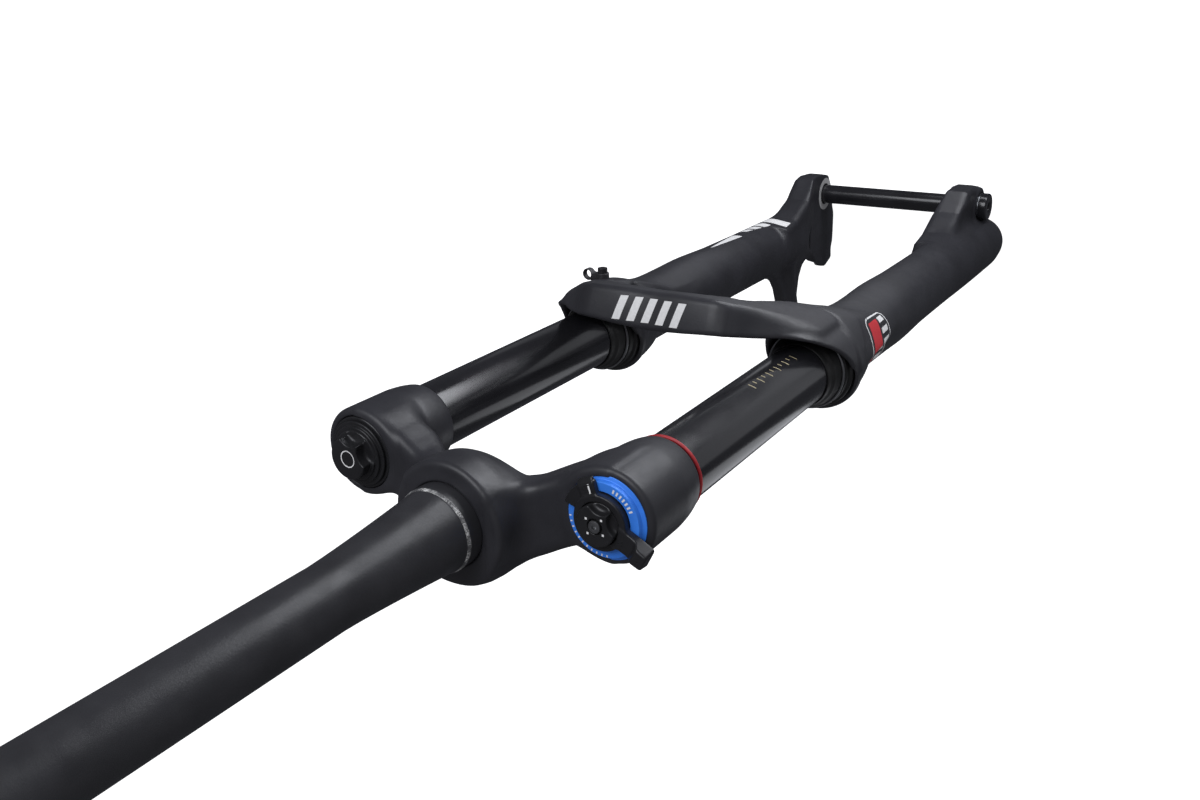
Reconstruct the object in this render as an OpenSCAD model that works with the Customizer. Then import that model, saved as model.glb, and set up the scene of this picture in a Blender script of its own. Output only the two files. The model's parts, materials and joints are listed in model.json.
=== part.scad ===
// Single-crown bicycle suspension fork: 35 mm stanchions, air spring in the rider's left leg,
// sealed cartridge damper in the right leg, 15 x 110 mm thru axle.
// Origin: on the steering axis at the crown race seat. +Z runs up the steerer, -Y is forward,
// +X is the rider's left.

/* [Chassis] */
// Travel of the lowers along the stanchions
travel = 140; // [120:5:150]
// Distance between the two stanchion axes
stanchion_spacing = 139; // [137:0.5:141]
// Distance of the stanchion axes ahead of the steering axis
crown_offset = 11; // [9:0.5:13]
// Distance of the wheel axle ahead of the steering axis
fork_offset = 42; // [40:0.5:46]
// Distance from the wiper lips down to the wheel axle
leg_length = 344; // [340:1:350]
// Width between the dropout faces, which is the hub's width
hub_width = 110; // [109:0.5:111]

/* [Steerer and crown] */
// Height of the uncut steerer above the race seat
steerer_length = 265; // [180:5:300]
// Diameter of the straight part of the steerer
steerer_d = 28.6; // [28.4:0.1:28.6]
// Diameter of the crown race seat
race_seat_d = 39.8; // [39.6:0.1:40]
// Height of the race seat
race_seat_h = 8; // [6:0.5:9]
// Height at which the steerer's taper ends
taper_end = 72; // [60:1:90]
// Radius of the crown's boss round the steerer
crown_hub_r = 29.5; // [28:0.5:31]
// Drop from the race seat to the top of the crown's leg bosses
boss_top = 22; // [20:0.5:24]
// Drop from the race seat to the bottom of the crown's leg bosses
boss_bottom = 68.5; // [66:0.5:70]
// Outside radius of the crown's leg bosses
boss_r = 22.3; // [21.5:0.1:23]

/* [Stanchions] */
// Outside diameter of the stanchions
stanchion_d = 35; // [34.8:0.1:35]
// Inside diameter of the stanchions
stanchion_bore_d = 31.8; // [31.6:0.1:31.8]

/* [Lowers] */
// Radius of the collar that holds each wiper seal
collar_r = 27; // [26.5:0.1:28]
// Radius of the bore that holds the bushings
leg_bore_r = 18.6; // [18.5:0.1:18.7]
// Height of the arch's rear edge above the collars' tops, in the middle
arch_rise = 71; // [68:1:73]
// Slope of the arch's top face, falling towards the front
arch_slope = 30; // [26:1:32]
// Diameter of the thru axle
axle_d = 15; // [14.9:0.1:15]
// Spacing of the two brake mount holes
brake_spacing = 74.2; // [74:0.1:74.4]
// Backward tilt of the brake mounts
brake_tilt = 20; // [18:1:22]

/* [Hidden] */
$fn = 96;
fit = 0.05;      // radial clearance of every running fit
eps = 0.5;       // overshoot of cuts
lip_margin = 9.5; // gap left between crown and wiper lips at full travel

leg_x = stanchion_spacing / 2;
leg_y = -crown_offset;
hub_half = hub_width / 2;
axle_y = -fork_offset;
axle_r = axle_d / 2;
st_r = stanchion_d / 2;
st_bore_r = stanchion_bore_d / 2;
lip_z = -(boss_bottom + lip_margin + travel);
axle_z = lip_z - leg_length;
collar_z = lip_z - 24;
stanchion_top = -boss_top - 2;
stanchion_bottom = axle_z + 50 + travel;
floor_z = axle_z + 32;      // inside bottom of each lower leg
foot_z = axle_z - 21;       // outside bottom of each lower leg
seat_z = axle_z + 8;        // shoulder under which the foot bolts bear
shaft_r = 5;
shaft_bore_r = 2.55;
cartridge_r = 11.5;
piston_z = stanchion_bottom + 40; // underside of the rebound piston at rest
black = "#1b1b1f";
grey = "#55565c";
steel = "#9a9da3";

// ---------- shared shapes ----------

module rod(r, z0, z1) translate([0, 0, z0]) cylinder(r = r, h = z1 - z0);

module ring(r_out, r_in, z0, z1) {
    difference() {
        rod(r_out, z0, z1);
        rod(r_in, z0 - eps, z1 + eps);
    }
}

module torus(r, section) rotate_extrude() translate([r, 0]) circle(r = section);

module left_leg() translate([leg_x, leg_y, 0]) children();

module right_leg() translate([-leg_x, leg_y, 0]) children();

module both_legs() {
    left_leg() children();
    right_leg() children();
}

// A cylinder along X from x0 to x1 on the wheel axle's line
module axle_rod(r, x0, x1) {
    translate([x0, axle_y, axle_z]) rotate([0, 90, 0]) cylinder(r = r, h = x1 - x0);
}

// Extrudes a Y-Z outline along X from x0 to x1
module slab_x(x0, x1, outline) {
    translate([x0, 0, 0]) rotate([90, 0, 90]) linear_extrude(x1 - x0) polygon(outline);
}

// Extrudes an X-Z outline along Y from y0 to y1
module slab_y(y0, y1, outline) {
    translate([0, y1, 0]) rotate([90, 0, 0]) linear_extrude(y1 - y0) polygon(outline);
}

function mirrored(half) = concat(half, [for (i = [len(half) - 1:-1:0]) [-half[i][0], half[i][1]]]);

// Smooth radius between stations of [height, radius], in even steps
function eased(a, b, t) = a + (b - a) * (1 - cos(180 * t)) / 2;
function smooth_outline(s, steps) = concat(
    [for (i = [0:len(s) - 2], k = [0:steps - 1])
        [eased(s[i][1], s[i + 1][1], k / steps), s[i][0] + (s[i + 1][0] - s[i][0]) * k / steps]],
    [[s[len(s) - 1][1], s[len(s) - 1][0]]]);

// ---------- uppers: steerer, crown and stanchions ----------

steerer_foot = -30;
press_r = 19.6; // radius of the steerer's stub inside the crown

module steerer() {
    seat_r = race_seat_d / 2;
    top_r = steerer_d / 2;
    color("#2b2c31") rotate_extrude() polygon([
        [16, steerer_foot], [press_r, steerer_foot], [press_r, 0], [seat_r, 0], [seat_r, race_seat_h],
        [seat_r - 0.5, race_seat_h + 2], [top_r, taper_end], [top_r, steerer_length - 0.8],
        [top_r - 0.8, steerer_length],
        [11.8, steerer_length], [11.8, taper_end], [16, 10]
    ]);
}

// Plan of the arms that join the steerer boss to the leg bosses
module crown_arms_plan() {
    for (s = [-1, 1]) polygon([
        [0, -19], [s * 22, -18.5], [s * 30, -18], [s * 37, -20.5], [s * 47, -25], [s * 58, -30.2],
        [s * leg_x, leg_y - 18], [s * leg_x, leg_y + 18], [s * 57, 7], [s * 53, 8.3], [s * 45, 12],
        [s * 36, 17], [s * 30, 19], [s * 21, 25], [0, 27]
    ]);
}

module crown_arms() {
    intersection() {
        translate([0, 0, -boss_bottom]) linear_extrude(boss_bottom) crown_arms_plan();
        slab_y(-60, 60, mirrored([
            [21, -4], [25, -12], [29, -16], [37, -20], [54, -boss_top + 0.5], [leg_x, -boss_top - 0.5],
            [leg_x, -50], [57, -46], [50, -44.5], [40, -43.5], [33, -40], [26, -33.5], [22, -31]
        ]));
    }
}

module crown_centre() {
    rotate_extrude() polygon([
        [0, -30], [21.5, -30], [25, -25.5], [28.2, -19], [crown_hub_r, -12], [crown_hub_r, -1.2],
        [crown_hub_r - 1.2, 0], [0, 0]
    ]);
}

module crown_boss() {
    rotate_extrude() polygon([
        [0, -boss_bottom], [19.4, -boss_bottom], [20.6, -boss_bottom + 4], [21.6, -boss_bottom + 10],
        [boss_r, -boss_bottom + 18], [boss_r, -boss_top - 2.6], [boss_r - 0.8, -boss_top - 0.8],
        [boss_r - 2.6, -boss_top], [0, -boss_top]
    ]);
}

module crown() {
    color(black) difference() {
        union() {
            crown_centre();
            crown_arms();
            both_legs() crown_boss();
        }
        rod(press_r, -80, 5);
        both_legs() rod(st_r, -80, 0);
        both_legs() rod(18.3, -boss_top - 2, 0);
        both_legs() rod(19.8, -boss_top, 0);
    }
}

module stanchion() ring(st_r, st_bore_r, stanchion_bottom, stanchion_top);

module stanchion_left() color("#0c0c0e") left_leg() stanchion();

module stanchion_right() color("#0c0c0e") right_leg() stanchion();

module sag_ring() {
    section = 1.25;
    color("#c3242c") right_leg() translate([0, 0, -boss_bottom - section - 0.3])
        rotate_extrude() translate([st_r + fit + section, 0]) circle(r = section);
}

// ---------- uppers: air spring ----------

cap_neck_r = 6.5;

module air_top_cap() {
    color(black) left_leg() difference() {
        union() {
            rod(18.1, stanchion_top, -boss_top + 0.8);
            rod(st_bore_r, stanchion_top - 15, stanchion_top);
            rod(cap_neck_r, -boss_top, -boss_top + 5);
        }
        rod(3.9, -80, 0);
    }
}

module air_valve_body() {
    top = -boss_top + 7;
    color("#b59a55") left_leg() difference() {
        union() {
            rod(3.85, stanchion_top - 12, top);
            rod(5.5, stanchion_top - 18, stanchion_top - 15);
            rod(3.85, stanchion_top - 16, stanchion_top - 11);
        }
        rod(2.2, top - 5, top + eps);
        rod(0.85, -60, top);
    }
}

module air_valve_pin() {
    color(steel) left_leg() rod(0.8, stanchion_top - 20, -boss_top + 6.4);
}

// Finger scallops round a knob of radius r, on the headings given
module scallops(r, headings, z0, z1) {
    for (a = headings) rotate([0, 0, a]) translate([r + 3.4, 0, 0]) rod(6.2, z0, z1);
}

module air_valve_cap() {
    base = -boss_top + 0.9;
    top = base + 9;
    color(black) left_leg() difference() {
        union() {
            rod(16.4, base, base + 1.5);
            rod(14.8, base, base + 3);
            rod(12.6, base, top - 1);
            translate([0, 0, top - 1]) cylinder(r1 = 12.6, r2 = 11.6, h = 1);
        }
        scallops(12.6, [-100, -162], base + 3.5, top + eps);
        rod(cap_neck_r + fit, base - eps, base + 4.2);
        rod(4.4, base - eps, base + 6.6);
    }
}

module volume_spacers() {
    first = stanchion_top - 20;
    color("#3a3b40") left_leg() for (i = [0, 1]) translate([0, 0, first - 24 * i]) difference() {
        union() {
            rod(13.5, -20, 0);
            rod(6.5, -24, -20);
        }
        rod(4, -25, eps);
        rod(10.8, -19, -8);
    }
}

module air_seal_head() {
    z0 = stanchion_bottom + 3;
    color(grey) left_leg() difference() {
        union() {
            rod(st_bore_r, z0, z0 + 6);
            rod(st_bore_r - 2.4, z0 + 5, z0 + 10);
            rod(st_bore_r, z0 + 9, z0 + 14);
        }
        rod(shaft_r + fit, z0 - 1, z0 + 20);
    }
}

module air_retaining_ring() {
    z0 = stanchion_bottom + 1.4;
    color(steel) left_leg() difference() {
        ring(st_bore_r, st_bore_r - 2.2, z0, z0 + 1.5);
        translate([0, -3, z0 - eps]) cube([20, 6, 3]);
    }
}

module top_out_bumper() {
    z0 = stanchion_bottom + 17;
    color("#2a2a2a") left_leg() rotate_extrude() polygon([
        [shaft_r + 0.3, z0], [9.5, z0], [9.5, z0 + 3], [8, z0 + 6], [9, z0 + 9], [8, z0 + 13.5],
        [shaft_r + 0.3, z0 + 13.5]
    ]);
}

// ---------- uppers: damper ----------

rod_r = 4.5;
needle_r = 3;
valve_z = stanchion_bottom + travel + 56; // underside of the compression valve
tower_r = 8;

module damper_top_cap() {
    color(grey) right_leg() difference() {
        union() {
            rod(18.1, stanchion_top, -boss_top);
            rod(st_bore_r, stanchion_top - 16, stanchion_top);
        }
        rod(rod_r + fit, -80, 0);
    }
}

module scale_ring() {
    z0 = -boss_top;
    color("#2a63c8") right_leg() rotate_extrude() polygon([
        [10.5, z0], [19.4, z0], [19.4, z0 + 0.7], [18.2, z0 + 2], [10.5, z0 + 2]
    ]);
}

lever_z = -boss_top + 2.1;

// A plan sector of radius r from heading a0 to a1
module sector(r, a0, a1) {
    polygon(concat([[0, 0]], [for (k = [0:12]) let (a = a0 + (a1 - a0) * k / 12) r * [cos(a), sin(a)]]));
}

// Plan of the lever: a disc with a window over the coloured scale, a paddle and a pointer tab
module lever_plan() {
    difference() {
        circle(r = 15.4);
        difference() {
            sector(24, 166, 286);
            circle(r = 12.6);
        }
    }
    rotate(154) translate([9, -5.5]) square([16.8, 11]);
    rotate(-68) translate([8, -4]) square([12, 8]);
}

module mode_lever() {
    color(black) right_leg() difference() {
        union() {
            translate([0, 0, lever_z]) linear_extrude(4.9) lever_plan();
            // upturned end of the paddle
            rotate([0, 0, 154]) translate([0, 0, lever_z]) slab_y(-5.2, 5.2, [
                [16.5, 4], [25.5, 4], [25.5, 8.6], [19.6, 8.6]
            ]);
        }
        rod(11.7, lever_z + 2.4, lever_z + 20);
        rod(rod_r, lever_z - eps, lever_z + 9);
    }
}

module compression_rod() {
    color(steel) right_leg() ring(rod_r, needle_r + fit, valve_z - 2, lever_z + 2.3);
}

module low_speed_knob() {
    z0 = lever_z + 2.5;
    top = z0 + 6.5;
    color(black) right_leg() difference() {
        union() {
            rod(11.5, z0, top - 1);
            translate([0, 0, top - 1]) cylinder(r1 = 11.5, r2 = 10.5, h = 1);
        }
        scallops(11.5, [-103, -165], z0 + 2, top + eps);
        rod(3.6, top - 1.6, top + eps);
        rod(1.6, z0 - eps, top);
    }
}

module low_speed_needle() {
    color(steel) right_leg() difference() {
        union() {
            rod(needle_r, valve_z + 4, lever_z + 2.5);
            translate([0, 0, valve_z - 1]) cylinder(r1 = 0.8, r2 = needle_r, h = 5);
        }
        rod(1.6, lever_z - 10, lever_z + 3);
    }
}

module knob_bolt() {
    head = lever_z + 7.4;
    color(steel) right_leg() difference() {
        union() {
            rod(3.4, head, head + 2.2);
            rod(1.5, lever_z - 8, head + 1);
        }
        translate([0, 0, head + 0.8]) cylinder(r = 1.45, h = 3, $fn = 6);
    }
}

module damper_tower() {
    top = stanchion_top - 16;
    color(steel) right_leg() difference() {
        union() {
            rod(tower_r, valve_z + 10, top);
            rod(13.2, top - 6, top);
            rod(11.5, valve_z + 10, valve_z + 16);
        }
        rod(rod_r + fit, valve_z, top + eps);
    }
}

module bladder() {
    top = stanchion_top - 23;
    low = valve_z + 20;
    color("#26262a") right_leg() rotate_extrude() polygon([
        [tower_r, low - 3], [13, low - 3], [13, low + 4], [14.6, low + 10], [14.6, top - 8],
        [12.4, top], [tower_r, top], [tower_r, top - 3], [11.4, top - 3], [13.4, top - 9],
        [13.4, low + 11], [11.8, low + 5], [11.8, low], [tower_r, low]
    ]);
}

module compression_valve() {
    color("#b59a55") right_leg() difference() {
        rod(cartridge_r, valve_z, valve_z + 10);
        rod(rod_r + fit, valve_z - eps, valve_z + 11);
        for (a = [0:60:300]) rotate([0, 0, a]) translate([8, 0, 0]) rod(1.4, valve_z - eps, valve_z + 11);
    }
}

module cartridge_tube() {
    color(steel) right_leg() ring(cartridge_r + 1.1, cartridge_r, stanchion_bottom + 22, valve_z + 14);
}

module cartridge_seal_head() {
    z0 = stanchion_bottom + 10;
    color(grey) right_leg() difference() {
        union() {
            rod(15.2, z0, z0 + 6);
            rod(cartridge_r + 1.1, z0 + 5, z0 + 12);
            rod(cartridge_r, z0 + 11, z0 + 24);
        }
        rod(shaft_r + fit, z0 - 1, z0 + 30);
    }
}

// ---------- lowers: casting ----------

// [height, radius] stations down the outside of a leg
leg_stations = [
    [collar_z - 20, collar_r], [collar_z - 44, 20.6], [collar_z - 78, 21], [collar_z - 108, 22.2],
    [collar_z - 150, 20.9], [collar_z - 195, 20.4], [collar_z - 250, 21.2], [axle_z, 20.6], [foot_z + 8, 19]
];

module leg_outside() {
    rotate_extrude() polygon(concat(
        [[0, collar_z], [collar_r - 1, collar_z], [collar_r, collar_z - 1]],
        smooth_outline(leg_stations, 4),
        [[16, foot_z], [0, foot_z]]
    ));
}

module leg_inside() {
    rod(leg_bore_r, floor_z, collar_z + eps);
    rod(23.6, collar_z - 12, collar_z + eps);
    rod(21.6, collar_z - 20, collar_z);
    rod(4.2, foot_z - eps, floor_z + 1);
    rod(9.2, foot_z - eps, seat_z);
}

arch_top = collar_z + arch_rise;
arch_rear = -39;            // where the arch's rear edge stands
cradle_r = 28;              // outside of the cradle in front of each seal

module arch_plan() {
    for (s = [-1, 1]) polygon([
        [0, -61.5], [s * 38, -61.3], [s * 50, -57.3], [s * 60, -52.2], [s * 70, -46.8], [s * 80, -41.8],
        [s * 85, -37], [s * 86, -32], [s * (leg_x + 9), leg_y - 25],
        [s * (leg_x - 8), leg_y - 25], [s * (leg_x - 16), arch_rear], [0, arch_rear]
    ]);
}

// The same plan filled in over the collars, for the part that stands below their tops
module arch_root_plan() {
    for (s = [-1, 1]) polygon([
        [s * 41, -50], [s * 50, -57.3], [s * 60, -52.2], [s * 70, -46.8], [s * 80, -41.8], [s * 88, -35.5],
        [s * 93, -27], [s * (leg_x + 26.5), -18], [s * (leg_x + 26), leg_y], [s * (leg_x - 26), leg_y]
    ]);
}

// Keeps what lies under the arch's top face, which slopes down towards the front
module under_top_face() {
    drop = cos(arch_slope);
    translate([0, arch_rear, arch_top]) rotate([arch_slope, 0, 0]) slab_y(-90, 90, mirrored([
        [38, 0], [44, -1.2 * drop], [50, -4 * drop], [60, -13 * drop], [70, -23.5 * drop], [80, -35 * drop],
        [86, -46 * drop], [91, -60 * drop], [leg_x + 30, -80 * drop],
        [leg_x + 30, -160], [20, -160]
    ]));
}

// Keeps what lies above the arch's underside
module over_underside() {
    slab_y(-90, 20, mirrored([
        [20, collar_z + 46.5], [30, collar_z + 42], [37, collar_z + 30], [42, collar_z + 12],
        [leg_x - 24, collar_z - 14], [leg_x - 19, collar_z - 44], [leg_x, collar_z - 50],
        [leg_x + 19, collar_z - 40], [leg_x + 26, collar_z - 12], [leg_x + 30, collar_z + 4],
        [leg_x + 30, arch_top + 1], [20, arch_top + 1]
    ]));
}

// Keeps what lies behind the front face, which runs down into the legs
module behind_front_face() {
    slab_x(-110, 110, [
        [20, arch_top + 1], [-70, arch_top + 1], [-62, collar_z + 62], [-59.5, collar_z + 52],
        [-55, collar_z + 38], [-50, collar_z + 20], [-45, collar_z], [-39, collar_z - 20],
        [-33, collar_z - 40], [-28, collar_z - 50], [20, collar_z - 50]
    ]);
}

// Wall that wraps the front of a seal, cut down towards the sides
module seal_cradle() {
    intersection() {
        rod(cradle_r, collar_z - 18, arch_top);
        slab_x(-40, 40, [
            [-34, collar_z + 50], [-26, collar_z + 40], [-21.8, collar_z + 32], [-15.5, collar_z + 19],
            [-7, collar_z + 9], [4.2, collar_z + 4], [14, collar_z - 1], [14, collar_z - 6],
            [-22, collar_z - 20], [-34, collar_z - 20]
        ]);
    }
}

module arch() {
    difference() {
        union() {
            intersection() {
                union() {
                    translate([0, 0, collar_z - 1]) linear_extrude(arch_rise + 10) arch_plan();
                    translate([0, 0, collar_z - 60]) linear_extrude(60) arch_root_plan();
                }
                under_top_face();
                over_underside();
                behind_front_face();
            }
            both_legs() seal_cradle();
        }
        both_legs() rod(26, collar_z, arch_top + 20);
    }
}

// Forward web that carries the axle, seen from the side
module dropout(x0, x1) {
    slab_x(x0, x1, [
        [leg_y - 19, axle_z + 88], [leg_y - 23, axle_z + 68], [leg_y - 29, axle_z + 57],
        [leg_y - 34, axle_z + 46], [leg_y - 41, axle_z + 36], [leg_y - 47, axle_z + 29],
        [leg_y - 49, axle_z + 21], [leg_y - 48.5, axle_z + 6], [leg_y - 45, axle_z - 6],
        [axle_y + 3, axle_z - 14], [leg_y - 8, foot_z + 2], [leg_y + 4, foot_z + 2],
        [leg_y + 4, axle_z + 60]
    ]);
}

dropout_w = 17;
guide_reach = 8.8;          // from the hose guide's bolt to its eye
brake_x = hub_half + 5;
brake_low = [brake_x, leg_y + 29.9, axle_z - 13.3];
brake_high = brake_low + brake_spacing * [0, sin(brake_tilt), cos(brake_tilt)];
brake_post_r = 8;

// Places children at a brake mount's face, with -Z running back into the fork
module at_brake(p) translate(p) rotate([-90 - brake_tilt, 0, 0]) children();

module brake_posts() {
    intersection() {
        at_brake(brake_low) translate([0, 0, -40]) cylinder(r = brake_post_r, h = 40);
        slab_x(hub_half, 100, [[leg_y, axle_z + 30], [80, axle_z + 30], [80, foot_z], [leg_y, foot_z]]);
    }
    at_brake(brake_high) translate([0, 0, -46]) cylinder(r = brake_post_r, h = 46);
    slab_x(brake_x - 4, brake_x + 5, [
        [leg_y + 12, axle_z + 106], [leg_y + 24, axle_z + 88], [leg_y + 40, axle_z + 75],
        [leg_y + 50, axle_z + 60], [leg_y + 50, axle_z + 46], [leg_y + 16, axle_z + 46],
        [leg_y + 10, axle_z + 30], [leg_y + 2, axle_z + 40], [leg_y + 2, axle_z + 106]
    ]);
}

module lower_casting() {
    color(black) difference() {
        union() {
            both_legs() leg_outside();
            arch();
            dropout(hub_half, hub_half + dropout_w);
            dropout(-hub_half - dropout_w, -hub_half);
            brake_posts();
            // bosses round the axle
            axle_rod(14, hub_half, hub_half + dropout_w + 1);
            axle_rod(14, -hub_half - dropout_w - 1, -hub_half);
            // lug for the hose guide on the left shoulder
            at_guide() rod(3.6, -14, 0);
        }
        both_legs() leg_inside();
        // flat inner faces that the hub sits between
        translate([-hub_half, -80, foot_z - 10]) cube([hub_width, 110, 10 + axle_z - foot_z + 24]);
        slab_y(-80, 30, mirrored([
            [0, axle_z + 20], [hub_half, axle_z + 20], [hub_half, axle_z + 24], [hub_half - 7, axle_z + 50],
            [0, axle_z + 50]
        ]));
        axle_rod(axle_r + fit, hub_half - eps, hub_half + 17.5);
        axle_rod(axle_r + fit, -hub_half - 30, -hub_half + eps);
        axle_rod(10.8, -hub_half - 30, -hub_half - 17);
        for (p = [brake_low, brake_high]) at_brake(p) translate([0, 0, -16]) cylinder(r = 2.5, h = 17);
        at_guide() rod(1.6, -12, 1);
        at_guide() translate([-4.5, -4.5, 0]) cube([17, 9, 8]);
        at_guide() translate([guide_reach, -3, 1.4]) rotate([-90, 0, 0]) cylinder(r = 3.6, h = 6);
        // flutes in the outside of the dropout webs
        for (s = [-1, 1]) translate([s * (hub_half + 25), leg_y - 28, axle_z + 38]) sphere(r = 10);
    }
}

// ---------- lowers: seals and bushings ----------

module wiper_seal() {
    difference() {
        rotate_extrude() polygon([
            [st_r + fit, lip_z], [18.3, lip_z], [19, lip_z - 3], [21.9, lip_z - 11], [23.2, lip_z - 14],
            [23.6, lip_z - 18], [25.4, lip_z - 19], [25.6, collar_z + 0.4], [25.2, collar_z],
            [23.6, collar_z], [23.6, collar_z - 11], [20.5, collar_z - 11], [20.5, collar_z - 2], [19.2, collar_z + 2],
            [st_r + fit, collar_z + 3]
        ]);
        translate([0, 0, lip_z - 12]) torus(22.3, 0.85);
    }
}

module wiper_seals() color("#141414") both_legs() wiper_seal();

module seal_springs() color("#c9ccd1") both_legs() translate([0, 0, lip_z - 12]) torus(22.3, 0.8);

module foam_rings() {
    color("#3c3c3c") both_legs() ring(21.4, st_r + fit, collar_z - 19.5, collar_z - 12.5);
}

module upper_bushings() {
    color("#7a6a4a") both_legs() ring(leg_bore_r, st_r + fit, collar_z - 42, collar_z - 21);
}

module lower_bushings() {
    color("#7a6a4a") both_legs() ring(leg_bore_r, st_r + fit, collar_z - 124, collar_z - 103);
}

// ---------- lowers: air spring ----------

air_piston_z = stanchion_bottom + 31;

module air_shaft() {
    color(steel) left_leg() difference() {
        rod(shaft_r, floor_z, air_piston_z + 12);
        rod(4, floor_z - eps, floor_z + 22);
        rod(3, floor_z + 21, air_piston_z + 13);
    }
}

module air_piston() {
    color("#4a4b50") left_leg() difference() {
        rod(st_bore_r - fit, air_piston_z, air_piston_z + 12);
        rod(shaft_r, air_piston_z - eps, air_piston_z + 13);
        ring(20, 13.3, air_piston_z + 4.7, air_piston_z + 7.3);
    }
}

module air_piston_seal() {
    color("#1a1a1a") left_leg() translate([0, 0, air_piston_z + 6]) torus(14.6, 1.25);
}

// Cap screw pointing up, with its head below z0
module foot_bolt(bore_r) {
    washer = 1.5;
    top = seat_z - washer;
    difference() {
        union() {
            rod(7, top - 6, top);
            rod(4, top - 1, floor_z + 20);
        }
        if (bore_r > 0) rod(bore_r, top - 10, floor_z + 30);
        translate([0, 0, top - 7]) cylinder(r = 2.9, h = 4.5, $fn = 6);
    }
}

module air_foot_bolt() color("#26272b") left_leg() foot_bolt(0);

module damper_foot_bolt() color("#26272b") right_leg() foot_bolt(shaft_bore_r);

module crush_washers() color("#b0863c") both_legs() ring(7.5, 4.2, seat_z - 1.5, seat_z);

module bottom_out_bumper() {
    color("#2a2a2a") both_legs() rotate_extrude() polygon([
        [shaft_r, floor_z], [11, floor_z], [11, floor_z + 4], [9, floor_z + 7], [10.5, floor_z + 11],
        [8.5, floor_z + 16], [shaft_r, floor_z + 16]
    ]);
}

// ---------- lowers: damper and rebound adjuster ----------

module damper_shaft() {
    color(steel) right_leg() difference() {
        union() {
            rod(shaft_r, floor_z, piston_z);
            rod(3.8, piston_z - 1, piston_z + 12);
        }
        rod(4, floor_z - eps, floor_z + 22);
        rod(shaft_bore_r, floor_z, piston_z + 8);
    }
}

module rebound_piston() {
    color("#b59a55") right_leg() difference() {
        union() {
            rod(cartridge_r - fit, piston_z, piston_z + 9);
            rod(6.4, piston_z + 9, piston_z + 12);
        }
        rod(3.8, piston_z - eps, piston_z + 13);
        for (a = [0:60:300]) rotate([0, 0, a]) translate([8.2, 0, 0])
            rod(1.4, piston_z - eps, piston_z + 10);
    }
}

knob_z = foot_z - 8;

module rebound_rod() {
    color(steel) right_leg() rod(shaft_bore_r - fit, knob_z + 6, piston_z + 6);
}

module rebound_knob() {
    color("#b3202a") right_leg() difference() {
        union() {
            rod(8.6, knob_z + 3, foot_z + 9);
            rod(9, knob_z, knob_z + 4);
        }
        for (a = [0:30:330]) rotate([0, 0, a]) translate([9.9, 0, 0]) rod(1.6, knob_z - eps, knob_z + 8);
        rod(shaft_bore_r - fit, knob_z + 6, foot_z + 20);
        translate([0, 0, knob_z - eps]) cylinder(r = 1.45, h = 4, $fn = 6);
    }
}

// ---------- lowers: hose guide and axle ----------

// Places children on the hose guide's lug, with +Z pointing forward and +X kept
module at_guide() translate([52.3, -54, collar_z + 31]) rotate([90, 0, 0]) children();

module hose_guide() {
    color("#101012") at_guide() difference() {
        union() {
            rod(3.8, 0, 2);
            translate([0, -2, 0]) cube([guide_reach, 4, 2]);
            translate([guide_reach, -2, 1.4]) rotate([-90, 0, 0]) cylinder(r = 3.4, h = 4);
        }
        translate([guide_reach, -5, 1.4]) rotate([-90, 0, 0]) cylinder(r = 2.5, h = 10);
        rod(1.6, -1, 5);
    }
}

module hose_guide_bolt() {
    color("#26272b") at_guide() difference() {
        union() {
            rod(2.5, 2, 6);
            rod(1.55, -11, 3);
        }
        translate([0, 0, 4]) cylinder(r = 1.2, h = 3, $fn = 6);
    }
}

module thru_axle() {
    head_x = -hub_half - 18.6;
    color("#0c0c0e") difference() {
        union() {
            axle_rod(axle_r, head_x, hub_half + 16.5);
            axle_rod(10.4, head_x - 6, head_x);
        }
        axle_rod(4.5, head_x + 8, hub_half + 18);
        translate([head_x - 7, axle_y, axle_z]) rotate([0, 90, 0]) cylinder(r = 3.5, h = 9, $fn = 6);
    }
}

module axle_washer() {
    face = -hub_half - 17;
    color(steel) difference() {
        axle_rod(10.4, face - 1.55, face);
        axle_rod(axle_r + fit, face - 5, face + 5);
    }
}

steerer();
crown();
stanchion_left();
stanchion_right();
sag_ring();
air_top_cap();
air_valve_body();
air_valve_pin();
air_valve_cap();
volume_spacers();
air_seal_head();
air_retaining_ring();
top_out_bumper();
damper_top_cap();
scale_ring();
mode_lever();
compression_rod();
low_speed_knob();
low_speed_needle();
knob_bolt();
damper_tower();
bladder();
compression_valve();
cartridge_tube();
cartridge_seal_head();
lower_casting();
wiper_seals();
seal_springs();
foam_rings();
upper_bushings();
lower_bushings();
air_shaft();
air_piston();
air_piston_seal();
air_foot_bolt();
crush_washers();
bottom_out_bumper();
damper_shaft();
rebound_piston();
damper_foot_bolt();
rebound_rod();
rebound_knob();
hose_guide();
hose_guide_bolt();
thru_axle();
axle_washer();
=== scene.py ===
"""Looks of a single-crown bicycle suspension fork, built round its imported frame.

Lengths are in millimetres in the frame's own axes until a mesh is made: +Z runs up the steerer,
-Y is forward and +X is the rider's left. Cast and forged pieces are signed distance fields turned
into meshes, and turned pieces are profiles spun round their axes.
"""

import json
import math

import bpy
import numpy as np
from mathutils import Matrix, Vector


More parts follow.
